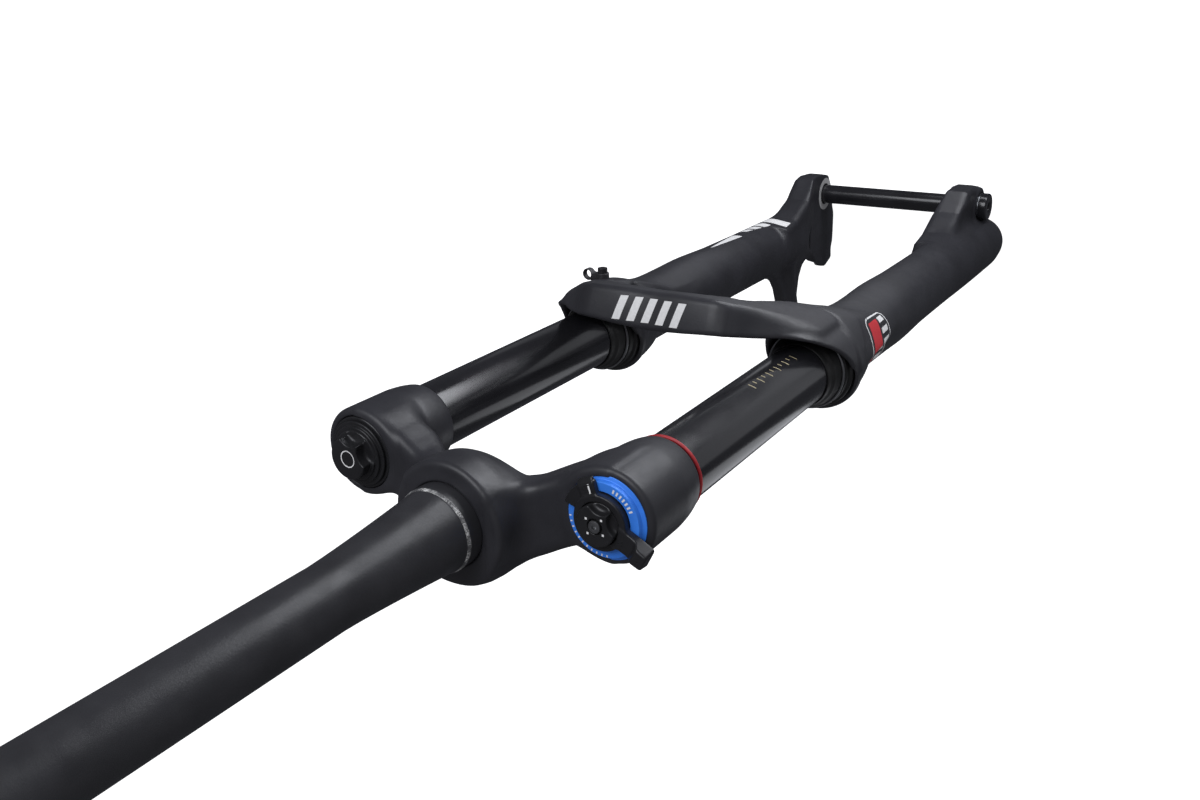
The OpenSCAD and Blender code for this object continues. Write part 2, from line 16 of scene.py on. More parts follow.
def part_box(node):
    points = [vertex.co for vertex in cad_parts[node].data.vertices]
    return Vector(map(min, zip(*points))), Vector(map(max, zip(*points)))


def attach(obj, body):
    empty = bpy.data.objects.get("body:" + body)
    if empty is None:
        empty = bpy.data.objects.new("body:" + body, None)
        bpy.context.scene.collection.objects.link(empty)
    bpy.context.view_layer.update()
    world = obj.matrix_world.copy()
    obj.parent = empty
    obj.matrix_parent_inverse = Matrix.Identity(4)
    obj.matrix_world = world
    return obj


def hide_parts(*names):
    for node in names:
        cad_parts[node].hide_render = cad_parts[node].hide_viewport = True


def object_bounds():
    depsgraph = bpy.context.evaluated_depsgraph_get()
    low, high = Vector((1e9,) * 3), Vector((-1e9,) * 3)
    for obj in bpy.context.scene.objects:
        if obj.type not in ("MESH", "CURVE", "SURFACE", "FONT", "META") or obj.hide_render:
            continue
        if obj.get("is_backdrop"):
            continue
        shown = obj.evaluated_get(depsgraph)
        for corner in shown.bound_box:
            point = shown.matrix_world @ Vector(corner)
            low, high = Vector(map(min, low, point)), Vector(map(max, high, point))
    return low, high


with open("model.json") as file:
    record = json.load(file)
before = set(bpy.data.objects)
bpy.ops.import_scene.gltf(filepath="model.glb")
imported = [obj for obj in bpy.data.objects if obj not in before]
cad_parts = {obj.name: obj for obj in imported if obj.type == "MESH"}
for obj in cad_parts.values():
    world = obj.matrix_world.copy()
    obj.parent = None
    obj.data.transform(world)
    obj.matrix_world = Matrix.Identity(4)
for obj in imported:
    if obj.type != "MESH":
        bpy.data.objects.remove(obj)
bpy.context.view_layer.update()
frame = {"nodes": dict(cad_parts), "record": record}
MM = 0.001


# ---------------- dimensions from the frame

def mm_box(node):
    low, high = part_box(node)
    return np.array(low) / MM, np.array(high) / MM


mounts = {m["name"]: m for m in frame["record"]["mounts"]}


def mount_r(name):
    return mounts[name]["dims"]["r_mm"]


def mount_pos(name):
    return np.array(mounts[name]["pos_m"]) / MM


low, high = mm_box("stanchion_left")
leg_x, leg_y = (low[0] + high[0]) / 2, (low[1] + high[1]) / 2
st_r = (high[0] - low[0]) / 2
st_low, st_high = low[2], high[2]
crown_low, crown_high = mm_box("crown")
boss_low, boss_top = crown_low[2], st_high + 2
boss_r = crown_high[0] - leg_x
lip_z = mm_box("wiper_seals")[1][2]
collar_z = lip_z - 24  # top of the lowers' collars, which the seals stand on
cast_low, cast_high = mm_box("lower_casting")
foot_z, arch_top = cast_low[2], cast_high[2]
air, damper = (leg_x, leg_y), (-leg_x, leg_y)
both_legs = [(*air, 0), (*damper, 0)]
axle_low, axle_high = mm_box("thru_axle")
axle_y, axle_z = (axle_low[1] + axle_high[1]) / 2, (axle_low[2] + axle_high[2]) / 2
hub_half = mount_pos("dropout_left")[0]
seat_r, top_r = mount_r("race_seat"), mount_r("steerer_pin")
floor_z, seat_z = axle_z + 32, axle_z + 8  # inside each leg: the bore's floor and the foot bolt's seat
collar_r, bore_r = 27.0, 18.6
guide_low, guide_high = mm_box("hose_guide")


# ---------------- distance field toolbox

def smooth_min(a, b, k):
    h = np.maximum(k - np.abs(a - b), 0) / k
    return np.minimum(a, b) - h * h * k * 0.25


def smooth_max(a, b, k):
    return -smooth_min(-a, -b, k)


def cut(a, b, k):
    """Field a with field b taken away, with an edge of radius about k."""
    return smooth_max(a, -b, k)


def curve(points, along=0, up=0):
    """A smooth curve through points, as a function, moved by along and up. It doesn't overshoot between
    them, and is level at 0 if it starts there, since both sides of the fork mirror each other."""
    xs, ys = (np.array(v, float) for v in zip(*sorted(points)))
    xs, ys = xs + along, ys + up
    slope = np.diff(ys) / np.diff(xs)
    d = np.zeros_like(ys)
    same = slope[1:] * slope[:-1] > 0
    d[1:-1][same] = 2 * slope[1:][same] * slope[:-1][same] / (slope[1:][same] + slope[:-1][same])
    d[0], d[-1] = (0 if xs[0] == 0 else slope[0]), slope[-1]
    dense = np.linspace(xs[0], xs[-1], 600)
    i = np.clip(np.searchsorted(xs, dense) - 1, 0, len(xs) - 2)
    h = xs[i + 1] - xs[i]
    t = (dense - xs[i]) / h
    value = ((1 + 2 * t) * (1 - t) ** 2 * ys[i] + t * (1 - t) ** 2 * h * d[i]
             + t * t * (3 - 2 * t) * ys[i + 1] + t * t * (t - 1) * h * d[i + 1])
    steep = np.gradient(value, dense)

    def at(x):
        return np.interp(x, dense, value)

    def scale(x):
        return 1 / np.sqrt(1 + np.interp(x, dense, steep) ** 2)

    at.scale = scale
    return at


def below(level, x, z):
    """Negative where z is below the curve level(x), in true distance near the curve."""
    return (z - level(x)) * level.scale(x)


def above(level, x, z):
    return (level(x) - z) * level.scale(x)


def slab(v, low_end, high_end):
    return np.maximum(low_end - v, v - high_end)


def outline_field(points, u, v):
    """Signed distance to a closed outline in the u-v plane."""
    best = np.full(np.shape(u), 1e9)
    inside = np.zeros(np.shape(u), bool)
    for (u0, v0), (u1, v1) in zip(points, points[1:] + points[:1]):
        eu, ev = u1 - u0, v1 - v0
        t = np.clip(((u - u0) * eu + (v - v0) * ev) / (eu * eu + ev * ev), 0, 1)
        best = np.minimum(best, (u - u0 - t * eu) ** 2 + (v - v0 - t * ev) ** 2)
        crosses = (v0 > v) != (v1 > v)
        with np.errstate(divide="ignore", invalid="ignore"):
            inside ^= crosses & (u < u0 + (v - v0) * eu / (ev if ev else 1e-9))
    return np.where(inside, -1, 1) * np.sqrt(best)


def rod_field(x, y, z, start, axis, r):
    """Distance to an endless cylinder, and the place along it."""
    px, py, pz = x - start[0], y - start[1], z - start[2]
    along = px * axis[0] + py * axis[1] + pz * axis[2]
    off = np.sqrt(np.maximum(px * px + py * py + pz * pz - along * along, 0))
    return off - r, along


# ---------------- meshes

def new_mesh(name, verts, faces, smooth=True, sharp=None):
    """An object from vertices in millimetres and a list of faces."""
    mesh = bpy.data.meshes.new(name)
    mesh.from_pydata(np.asarray(verts, float) * MM, [], faces)
    mesh.update(calc_edges=True)
    mesh.validate()
    mesh.polygons.foreach_set("use_smooth", np.full(len(mesh.polygons), smooth))
    if sharp is not None:
        mesh.set_sharp_from_angle(angle=math.radians(sharp))
    obj = bpy.data.objects.new(name, mesh)
    bpy.context.scene.collection.objects.link(obj)
    return obj


def gradient(field, p, h=0.04):
    g = np.empty_like(p)
    for k in range(3):
        step = np.zeros(3)
        step[k] = h
        a, b = p + step, p - step
        g[:, k] = (field(*a.T) - field(*b.T)) / (2 * h)
    return g


def onto(field, p, rounds=3, limit=1.0):
    """Moves points onto the field's surface."""
    for _ in range(rounds):
        g = gradient(field, p)
        f = field(*p.T)
        step = (f / np.maximum((g * g).sum(1), 0.05))[:, None] * g
        size = np.linalg.norm(step, axis=1, keepdims=True)
        p = p - step * np.minimum(1, limit / np.maximum(size, 1e-9))
    return p


def relax(verts, quads):
    """One pass that evens out the spacing of a mesh's points."""
    total, count = np.zeros_like(verts), np.zeros(len(verts))
    for a, b in ((0, 1), (1, 2), (2, 3), (3, 0)):
        for i, j in ((a, b), (b, a)):
            for k in range(3):
                total[:, k] += np.bincount(quads[:, i], verts[quads[:, j], k], len(verts))
            count += np.bincount(quads[:, i], minlength=len(verts))
    return verts * 0.4 + 0.6 * total / np.maximum(count, 1)[:, None]


def net(field, low_end, high_end, step):
    """Vertices and quads of the field's surface inside a box, by surface nets."""
    axes = [np.arange(a - 2 * step, b + 3 * step, step) for a, b in zip(low_end, high_end)]
    value = np.empty([len(a) for a in axes], np.float32)
    for i in range(0, len(axes[0]), 16):
        grid = np.meshgrid(axes[0][i:i + 16], axes[1], axes[2], indexing="ij")
        value[i:i + 16] = field(*grid)
    inside = value < 0
    corners = [(a, b, c) for a in (0, 1) for b in (0, 1) for c in (0, 1)]
    n = [s - 1 for s in value.shape]

    def corner(array, o):
        return array[o[0]:o[0] + n[0], o[1]:o[1] + n[1], o[2]:o[2] + n[2]]

    count = sum(corner(inside, o).astype(np.int8) for o in corners)
    active = (count > 0) & (count < 8)
    cells = np.argwhere(active)
    ids = np.full(n, -1)
    ids[active] = np.arange(len(cells))
    total, hits = np.zeros((len(cells), 3)), np.zeros(len(cells))
    for o in corners:
        for k in range(3):
            if o[k]:
                continue
            far = tuple(o[m] + (m == k) for m in range(3))
            va = value[tuple((cells + o).T)].astype(float)
            vb = value[tuple((cells + far).T)].astype(float)
            crosses = (va < 0) != (vb < 0)
            t = np.where(crosses, va / np.where(crosses, va - vb, 1), 0)
            point = np.tile(np.array(o, float), (len(cells), 1))
            point[:, k] += t
            total += point * crosses[:, None]
            hits += crosses
    verts = (cells + total / hits[:, None]) * step + np.array([a[0] for a in axes])
    quads = []
    for k in range(3):
        u, v = (k + 1) % 3, (k + 2) % 3
        far = cells.copy()
        far[:, k] += 1
        a, b = inside[tuple(cells.T)], inside[tuple(far.T)]
        use = (a != b) & (cells[:, u] > 0) & (cells[:, v] > 0)
        c, flip = cells[use], a[use]
        du, dv = np.eye(3, dtype=int)[u], np.eye(3, dtype=int)[v]
        q = np.stack([ids[tuple((c - s).T)] for s in (du * 0, du, du + dv, dv)], 1)
        q[~flip] = q[~flip][:, ::-1]
        quads.append(q)
    return verts, np.concatenate(quads)


def solid(name, field, box, step):
    """A mesh object from a distance field, sampled every step inside a box with 1 mm to spare."""
    step = step * 1
    verts, quads = net(field, box[0] - 1, box[1] + 1, step)
    for _ in range(2):
        verts = onto(field, relax(verts, quads), 1, step)
    return new_mesh(name, onto(field, verts, 3, step), quads)


def fillet(points, radius):
    """A closed outline with every corner rounded, by up to radius, in arcs of four steps."""
    out, arc = [], 4
    pts = [np.array(p, float) for p in points]
    for i, p in enumerate(pts):
        before, after = pts[i - 1] - p, pts[(i + 1) % len(pts)] - p
        la, lb = np.linalg.norm(before), np.linalg.norm(after)
        turn = abs(math.atan2(before[0] * after[1] - before[1] * after[0], before @ after))
        if turn > 2.9 or min(la, lb) < 1e-6:
            out.append(p)
            continue
        d = min(radius, 0.45 * la, 0.45 * lb)
        a, b = p + before / la * d, p + after / lb * d
        for k in range(arc + 1):
            t = k / arc
            out.append((1 - t) ** 2 * a + 2 * t * (1 - t) * p + t * t * b)
    return out


def spin(name, outline, centres=((0, 0, 0),), axis="z", radius=0.3, segments=160):
    """A turned piece: an outline of (radius, height) spun round an axis through each centre."""
    segments = segments
    prof = np.array(fillet(outline, radius) if radius else outline, float)
    prof[:, 0] = np.maximum(prof[:, 0], 0.02)
    area = np.sum(prof[:, 0] * np.roll(prof[:, 1], -1) - np.roll(prof[:, 0], -1) * prof[:, 1])
    if area < 0:
        prof = prof[::-1]
    angles = np.linspace(0, 2 * math.pi, segments, endpoint=False)
    m = len(prof)
    ring = np.stack([np.outer(np.cos(angles), prof[:, 0]), np.outer(np.sin(angles), prof[:, 0]),
                     np.tile(prof[:, 1], (segments, 1))], -1).reshape(-1, 3)
    i, j = np.meshgrid(np.arange(segments), np.arange(m), indexing="ij")
    a, b = i * m + j, (i + 1) % segments * m + j
    c, d = (i + 1) % segments * m + (j + 1) % m, i * m + (j + 1) % m
    quads = np.stack([a, b, c, d], -1).reshape(-1, 4)
    if axis == "x":
        ring = ring[:, [2, 0, 1]]
    all_v, all_f = [], []
    for k, at in enumerate(centres):
        all_v.append(ring + np.array(at, float))
        all_f.append(quads + k * len(ring))
    obj = new_mesh(name, np.concatenate(all_v), np.concatenate(all_f))
    weigh(obj)
    return obj


def weigh(obj):
    """Shading that keeps flats flat beside rounded edges."""
    mod = obj.modifiers.new("weighted", "WEIGHTED_NORMAL")
    mod.weight = 60
    mod.keep_sharp = True


def placed(obj, body, slot, *nodes, ink=None):
    """Puts a finished piece on its body, in the slot it takes its finish from. ink is a printed finish."""
    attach(obj, body)
    if nodes:
        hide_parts(*nodes)
    obj.data.materials.append(finish(ink or slot))


# ---------------- finishes

SLOT_COLOUR = {m["slot"]: m["base_color"][:3] for m in frame["record"]["materials"]}


class Nodes:
    """A short way to write the node tree of a material or a world."""

    def __init__(self, name, store="materials", shader="Principled BSDF"):
        self.owner = getattr(bpy.data, store).new(name)
        self.owner.use_nodes = True
        self.tree = self.owner.node_tree
        self.shader = self.tree.nodes[shader]
        self.place = self.add("TexCoord").outputs["Object"]

    def add(self, kind, inputs=None, **settings):
        node = self.tree.nodes.new("ShaderNode" + kind)
        for key, value in settings.items():
            setattr(node, key, value)
        for key, value in (inputs or {}).items():
            self.feed(node.inputs[key], value)
        return node

    def feed(self, socket, value):
        if isinstance(value, bpy.types.NodeSocket):
            self.tree.links.new(value, socket)
        else:
            socket.default_value = value

    def set(self, **inputs):
        for key, value in inputs.items():
            self.feed(self.shader.inputs[key.replace("_", " ")], value)

    def noise(self, scale, detail=4.0, rough=0.55, stretch=(1, 1, 1)):
        where = self.place
        if stretch != (1, 1, 1):
            where = self.add("Mapping", {"Vector": self.place, "Scale": stretch}).outputs[0]
        return self.add("TexNoise", {
            "Vector": where, "Scale": scale, "Detail": detail, "Roughness": rough}).outputs["Fac"]

    def spread(self, value, low_end, high_end):
        """A noise value, from its usual 0.3 to 0.7, spread over a range."""
        ends = {"From Min": 0.3, "From Max": 0.7, "To Min": low_end, "To Max": high_end}
        return self.add("MapRange", {"Value": value, **ends}).outputs[0]

    def ramp(self, value, stops):
        node = self.add("ValToRGB", {"Fac": value})
        points = node.color_ramp.elements
        while len(points) < len(stops):
            points.new(0.5)
        for point, (position, shade) in zip(points, stops):
            point.position = position
            point.color = (shade, shade, shade, 1)
        return node.outputs["Color"]

    def mix(self, factor, a, b):
        """A colour between a and b."""
        node = self.add("Mix", {0: factor, 6: a, 7: b}, data_type="RGBA")
        return node.outputs[2]

    def bump(self, height, strength, distance, after=None):
        inputs = {"Height": height, "Strength": strength, "Distance": distance}
        if after is not None:
            inputs["Normal"] = after
        return self.add("Bump", inputs).outputs["Normal"]

    def edges(self, start, end):
        """High on worn outer edges."""
        return self.ramp(self.add("NewGeometry").outputs["Pointiness"], [(start, 0), (end, 1)])


def rgba(colour, gain=1.0):
    return tuple(min(1, c * gain) for c in colour) + (1,)


def painted(name, colour, rough=0.42, coat=0.0, edge=(0.03, 0.03, 0.034)):
    """Powder coat: fine orange peel, uneven sheen and slightly rubbed edges."""
    n = Nodes(name)
    patch, peel, grain = n.noise(38), n.noise(900, 3), n.noise(4200, 2)
    base = n.mix(n.spread(patch, 0, 1), rgba(colour, 0.55), rgba(colour, 0.8))
    rubbed = n.add("Math", {0: n.edges(0.53, 0.6), 1: n.spread(n.noise(160), 0, 0.7)},
                   operation="MULTIPLY").outputs[0]
    base = n.mix(rubbed, base, rgba(edge))
    n.set(Base_Color=base, Roughness=n.spread(n.noise(120), rough - 0.05, rough + 0.07),
          Coat_Weight=coat, Coat_Roughness=0.3, Specular_IOR_Level=0.5,
          Normal=n.bump(peel, 0.22, 0.0002, n.bump(grain, 0.12, 0.0001)))
    return n.owner


def glossed(name, colour, rough=0.1):
    """Hard anodised and polished tube: fine drawn lines along it and faint smears."""
    n = Nodes(name)
    drawn = n.noise(700, 3, stretch=(1, 1, 0.012))
    smear = n.noise(26, 5, 0.65, stretch=(1, 1, 0.35))
    n.set(Base_Color=n.mix(n.spread(smear, 0, 1), rgba(colour, 0.8), rgba(colour, 1.3)),
          Roughness=n.spread(smear, rough * 0.8, rough * 1.6), Metallic=0.0, IOR=1.5,
          Coat_Weight=0.2, Coat_Roughness=0.1, Normal=n.bump(drawn, 0.05, 0.00005))
    return n.owner


def anodised(name, colour, rough=0.3, metallic=0.85, lathe_lines=0.08):
    """Anodised aluminium: satin metal with turning marks and small colour drift."""
    n = Nodes(name)
    drift, lines, grain = n.noise(60), n.noise(1500, 2, stretch=(0.15, 0.15, 3)), n.noise(3800, 2)
    base = n.mix(n.spread(drift, 0, 1), rgba(colour, 0.82), rgba(colour, 1.15))
    base = n.mix(n.edges(0.54, 0.64), base, rgba(colour, 1.4))
    n.set(Base_Color=base, Metallic=metallic, Roughness=n.spread(n.noise(240), rough - 0.05, rough + 0.08),
          Normal=n.bump(lines, lathe_lines, 0.0001, n.bump(grain, 0.08, 0.00006)))
    return n.owner


def machined(name, colour, rough=0.28):
    """Bare turned metal."""
    n = Nodes(name)
    lines = n.noise(2400, 2, stretch=(0.1, 0.1, 3))
    base = n.mix(n.spread(n.noise(90), 0, 1), rgba(colour, 0.8), rgba(colour, 1.1))
    n.set(Base_Color=base, Metallic=1.0, Roughness=n.spread(lines, rough - 0.08, rough + 0.14),
          Normal=n.bump(lines, 0.15, 0.00008))
    return n.owner


def moulded(name, colour, rough=0.55, grain=0.25, sheen=0.0):
    """Rubber or plastic from a mould: matt and fine-grained, with a small random drift in tone."""
    n = Nodes(name)
    base = n.mix(n.spread(n.noise(70), 0, 1), rgba(colour, 0.75), rgba(colour, 1.35))
    n.set(Base_Color=base, Roughness=n.spread(n.noise(300), rough - 0.08, rough + 0.1),
          Sheen_Weight=sheen, Normal=n.bump(n.noise(2600, 3), grain, 0.0001))
    return n.owner


def porous(name, colour):
    """Open-cell foam."""
    n = Nodes(name)
    cells = n.add("TexVoronoi", {"Vector": n.place, "Scale": 1400}).outputs["Distance"]
    n.set(Base_Color=n.mix(cells, rgba(colour, 0.3), rgba(colour, 1.4)), Roughness=0.95,
          Normal=n.bump(cells, 0.7, 0.0004))
    return n.owner


def scuffed_seat(name):
    """The bare race seat: blasted metal, speckled light and dark."""
    n = Nodes(name)
    speck = n.ramp(n.noise(1500, 6, 0.75), [(0.44, 0), (0.56, 1)])
    patch = n.ramp(n.noise(170, 4, 0.6), [(0.35, 0), (0.62, 1)])
    base = n.mix(speck, (0.06, 0.06, 0.06, 1), (0.75, 0.75, 0.74, 1))
    n.set(Base_Color=n.mix(patch, rgba((0.08, 0.08, 0.085)), base), Metallic=0.2, Roughness=0.6,
          Normal=n.bump(n.noise(1500, 6, 0.75), 0.8, 0.0004))
    return n.owner


def printed(name, colour):
    """Thin silk-screened ink or film."""
    n = Nodes(name)
    n.set(Base_Color=n.mix(n.spread(n.noise(700, 5), 0, 1), rgba(colour, 0.88), rgba(colour, 1.0)),
          Roughness=n.spread(n.noise(200), 0.35, 0.5), Normal=n.bump(n.noise(2600), 0.1, 0.00005))
    return n.owner


FINISHES = {
    "satin_black": painted,
    "steerer_black": lambda s, c: painted(s, c, rough=0.36),
    "gloss_black": lambda s, c: glossed(s, c, rough=0.17),
    "black_anodised": lambda s, c: anodised(s, c, rough=0.3, metallic=0.3),
    "grey_alloy": machined,
    # Steel at 0.6 of its colour: partly its own tone, partly painted shade for the seal springs that lie
    # under the arch.
    "steel": lambda s, c: machined(s, rgba(c, 0.6)[:3], rough=0.35),
    "blue_anodised": lambda s, c: anodised(s, rgba(c, 1.5)[:3], rough=0.36, metallic=0.15),
    "red_anodised": anodised,
    "brass": machined,
    # Seal rubber at half its colour: partly its own near-black, partly painted shade for the shade the arch
    # casts over the seals.
    "seal_rubber": lambda s, c: moulded(s, rgba(c, 0.5)[:3], rough=0.5),
    "red_rubber": lambda s, c: moulded(s, rgba(c, 0.6)[:3], rough=0.4),
    "foam": porous,
    "dark_plastic": lambda s, c: moulded(s, rgba(c, 0.55)[:3], rough=0.4),
    "bushing": lambda s, c: machined(s, c, rough=0.35),
}
EXTRA = {
    "seat_metal": scuffed_seat,
    "bare_metal": lambda name: painted(name, (0.62, 0.62, 0.62), rough=0.35, edge=(0.5, 0.5, 0.5)),
    "ink_white": lambda name: printed(name, (0.82, 0.82, 0.82)),
    "ink_red": lambda name: printed(name, (0.6, 0.03, 0.04)),
    "ink_gold": lambda name: printed(name, (0.42, 0.36, 0.22)),
}
made = {}


def finish(name):
    """The material of a slot, or of one of the extra finishes, made when it is first asked for."""
    if name not in made:
        made[name] = FINISHES[name](name, SLOT_COLOUR[name]) if name in FINISHES else EXTRA[name](name)
    return made[name]


# ---------------- crown

def leg_polar(x, y):
    """Distance from the nearer leg's axis."""
    return np.hypot(np.abs(x) - leg_x, y - leg_y)


hub_edge = curve([(-34, 19.5), (-30, 21.8), (-25.5, 25.2), (-19, 28.2), (-12, 29.3), (0, 29.4), (4, 29.4)])
boss_edge = curve([(boss_low - 2, 18.6), (boss_low, 19.2), (boss_low + 4, 20.4), (boss_low + 10, 21.5),
                   (boss_low + 18, boss_r - 0.15), (boss_top, boss_r - 0.1), (boss_top + 4, boss_r - 0.1)])
arm_front = curve([(0, -19), (22, -18), (30, -18.4), (37, -20.8), (47, -25.6),
                   (leg_x - 11, leg_y - 19.6), (leg_x, leg_y - 20.5)])
arm_rear = curve([(0, 27), (12, 27.5), (21, 24.6), (30, 19.4), (36, 16.6), (45, 12), (53, 8.6),
                  (leg_x - 12, 7.4), (leg_x, 9)])
arm_top = curve([(0, -2), (18, -3), (21, -5), (25, -11.5), (29, -15.5), (37, -19.2),
                 (54, boss_top + 0.3), (leg_x, boss_top + 0.2)])
arm_foot = curve([(0, -30), (22, -31.5), (26, -34), (33, -40), (40, -43.5), (50, -44.5),
                  (leg_x - 12, -46), (leg_x, -50)])


def crown_field(x, y, z):
    side = np.abs(x)
    hub = smooth_max((np.hypot(x, y) - hub_edge(z)) * hub_edge.scale(z), slab(z, -30, 0), 3.2)
    boss = smooth_max((leg_polar(x, y) - boss_edge(z)) * boss_edge.scale(z), slab(z, boss_low, boss_top), 3.0)
    plan = smooth_max(above(arm_front, side, y), below(arm_rear, side, y), 6)
    tall = smooth_max(below(arm_top, side, z), above(arm_foot, side, z), 6)
    arms = smooth_max(smooth_max(plan, tall, 7), side - leg_x, 2)
    body = smooth_min(smooth_min(hub, arms, 7), boss, 5)
    body = cut(body, np.hypot(x, y) - seat_r, 1.2)
    leg = leg_polar(x, y)
    body = cut(body, leg - st_r, 0.8)
    return cut(body, smooth_max(leg - 18.3, boss_top - 2 - z, 0.6), 0.9)


placed(solid("crown_forging", crown_field, (crown_low, crown_high), 0.7), "uppers", "satin_black", "crown")


# ---------------- lower casting

# The legs' radius by height over the collar's plane, and how far their skin lies ahead of their axes.
foot_h, hub_h = foot_z - collar_z, axle_z - collar_z
leg_edge = curve([(foot_h - 4, 17), (foot_h, 18.2), (foot_h + 8, 19.4), (hub_h, 20.6), (-250, 21),
                  (-195, 20.7), (-150, 20.8), (-105, 21.8), (-78, 21.2), (-50, 20.9), (-38, 21), (-31, 22),
                  (-23, 24.3), (-15, 25.6), (-8, 26.3), (-3, 26.8), (4, collar_r)], along=collar_z)
leg_ahead = curve([(foot_h, 0), (hub_h + 40, 0.4), (-60, 1.1), (-30, 1.0), (-12, 0), (0, 0)], along=collar_z)
# The arch: front and back faces seen from above, top and underside seen from ahead.
arch_front = curve([(0, -60.6), (18, -61.4), (36, -61.2), (50, -57.3), (60, -52.2), (70, -46.8), (80, -41.2),
                    (86, -35.6), (91, -28), (94.5, -19), (96.5, -8)])
arch_back = curve([(0, -39.4), (20, -40.6), (40, -42), (50, -41.2), (60, -39.6), (70, -38), (80, -36.6),
                   (98, -34)])
arch_high = curve([(0, -0.8), (20, -0.1), (36, 0), (44, -1.7), (50, -5.4), (60, -13.6), (70, -24),
                   (80, -36), (86, -46), (91, -58), (98, -76)], up=arch_top)
# arch_lean is the slope of the top face, which falls towards the front.
arch_lean = curve([(0, 0.34), (20, 0.34), (40, 0.4), (50, 0.62), (60, 0.98), (70, 1.3), (80, 1.5), (98, 1.5)])
arch_low = curve([(0, 45.4), (22, 44), (30, 39.4), (36, 31), (40, 21), (43, 6), (46, -18), (49, -52),
                  (52, -70)], up=collar_z)
rise = arch_top - collar_z
front_run = curve([(rise + 6, -66), (rise - 8, -62.6), (52, -59.6), (38, -55.2), (20, -50.2), (0, -45),
                   (-20, -39), (-40, -33), (-52, -29.5), (-70, -27)], along=collar_z)
rim_high = curve([(-46, 54), (-37, 39), (-32.8, 30.5), (-26.5, 19.5), (-18, 10.5), (-6.8, 4), (0.4, 2),
                  (8, -1.5), (20, -2)], up=collar_z)
# Side views of the dropout web, brake web and brake fin, measured from a leg's axis and the axle's height.
web_foot = foot_z + 2 - axle_z
dropout_web = [(4, 92), (-19, 88), (-23, 70), (-29, 57), (-34, 46), (-41, 36), (-47, 28.5), (-48.8, 20),
               (-48, 5), (-45, -7), (-29, -14.5), (-8, web_foot), (4, web_foot)]
web_out = hub_half + 16.6
tilt = math.atan2(-mounts["brake_high"]["axis"][2], mounts["brake_high"]["axis"][1])
post_axis = np.array([0, math.cos(tilt), -math.sin(tilt)])
brake_web = [(2, 106), (12, 104), (22, 90), (33, 81), (46, 75), (52, 62), (48, 49), (30, 45), (17, 36),
             (2, 24)]
brake_fin = [(8, 26), (8, -19), (44, -21.4), (58, -21), (64, -12), (55, 14), (38, 30)]
brake_fin = [(axle_y - leg_y + y, z) for y, z in brake_fin]
eye_pos, eye_r = mount_pos("hose_eye"), mount_r("hose_eye")
guide_at = np.array([guide_low[0] + 3.1, guide_high[1], (guide_low[2] + guide_high[2]) / 2])  # its screw


def arch_field(x, y, z):
    side = np.abs(x)
    back = np.clip(y - arch_back(side), -21, 0)
    top = arch_high(side) + arch_lean(side) * (y - arch_back(side)) - 0.007 * back * (21 + back)
    top_gap = (z - top) / np.sqrt(1 + arch_lean(side) ** 2)
    under = above(arch_low, np.minimum(side, 52), z)
    front = above(front_run, z, y)
    plan_front = above(arch_front, side, y)
    upper = smooth_max(below(arch_back, side, y), collar_z - 1 - z, 3)
    lower = np.maximum(y - leg_y, z - collar_z)
    shape = smooth_max(smooth_max(front, plan_front, 6), smooth_min(upper, lower, 3), 4)
    return smooth_max(smooth_max(shape, top_gap, 3.5), under, 9)


def cradle_field(x, y, z):
    """The band that runs on from the arch round the front and outside of each seal."""
    ahead = np.clip((leg_y - y) / 24, 0, 1)
    ring = leg_polar(x, y) - collar_r - 1.1 * ahead
    return smooth_max(smooth_max(ring, below(rim_high, y, z), 3), collar_z - 4 - 16 * ahead - z, 3)


def crest_field(x, y, z):
    return smooth_min(arch_field(x, y, z), cradle_field(x, y, z), 2.5)


def feet_field(x, y, z):
    """Dropout webs, axle bosses and brake posts, which stand at the foot of the legs."""
    side = np.abs(x)
    from_leg, from_axle = y - leg_y, z - axle_z
    web = smooth_max(outline_field(dropout_web, from_leg, from_axle), slab(side, hub_half - 6, web_out), 6)
    flute = np.sqrt(((side - hub_half - 24) * 1.2) ** 2 + (from_leg + 29) ** 2
                    + ((from_axle - 38) * 0.55) ** 2) - 9
    web = cut(web, flute, 5)
    axle = np.hypot(y - axle_y, from_axle)
    boss = smooth_max(axle - 14, slab(side, hub_half - 6, web_out + 0.8), 1.6)
    shape = smooth_min(web, boss, 3)
    for name, depth in (("brake_low", 40), ("brake_high", 46)):
        off, along = rod_field(x, y, z, mount_pos(name), post_axis, 7.9)
        flare = np.clip((-along - 14) * 0.06, 0, 3)
        shape = smooth_min(shape, smooth_max(off - flare, slab(along, -depth, -0.2), 1.6), 5)
    rib = smooth_max(outline_field(brake_web, from_leg, from_axle), slab(x, hub_half + 1, hub_half + 10), 3)
    along = rod_field(x, y, z, mount_pos("brake_low"), post_axis, 7.9)[1]
    fin = smooth_max(outline_field(brake_fin, from_leg, from_axle), slab(x, hub_half + 0.2, hub_half + 8),
                     1.5)
    shape = smooth_min(shape, smooth_max(fin, along + 0.4, 1.5), 4)
    return smooth_min(shape, rib, 4)


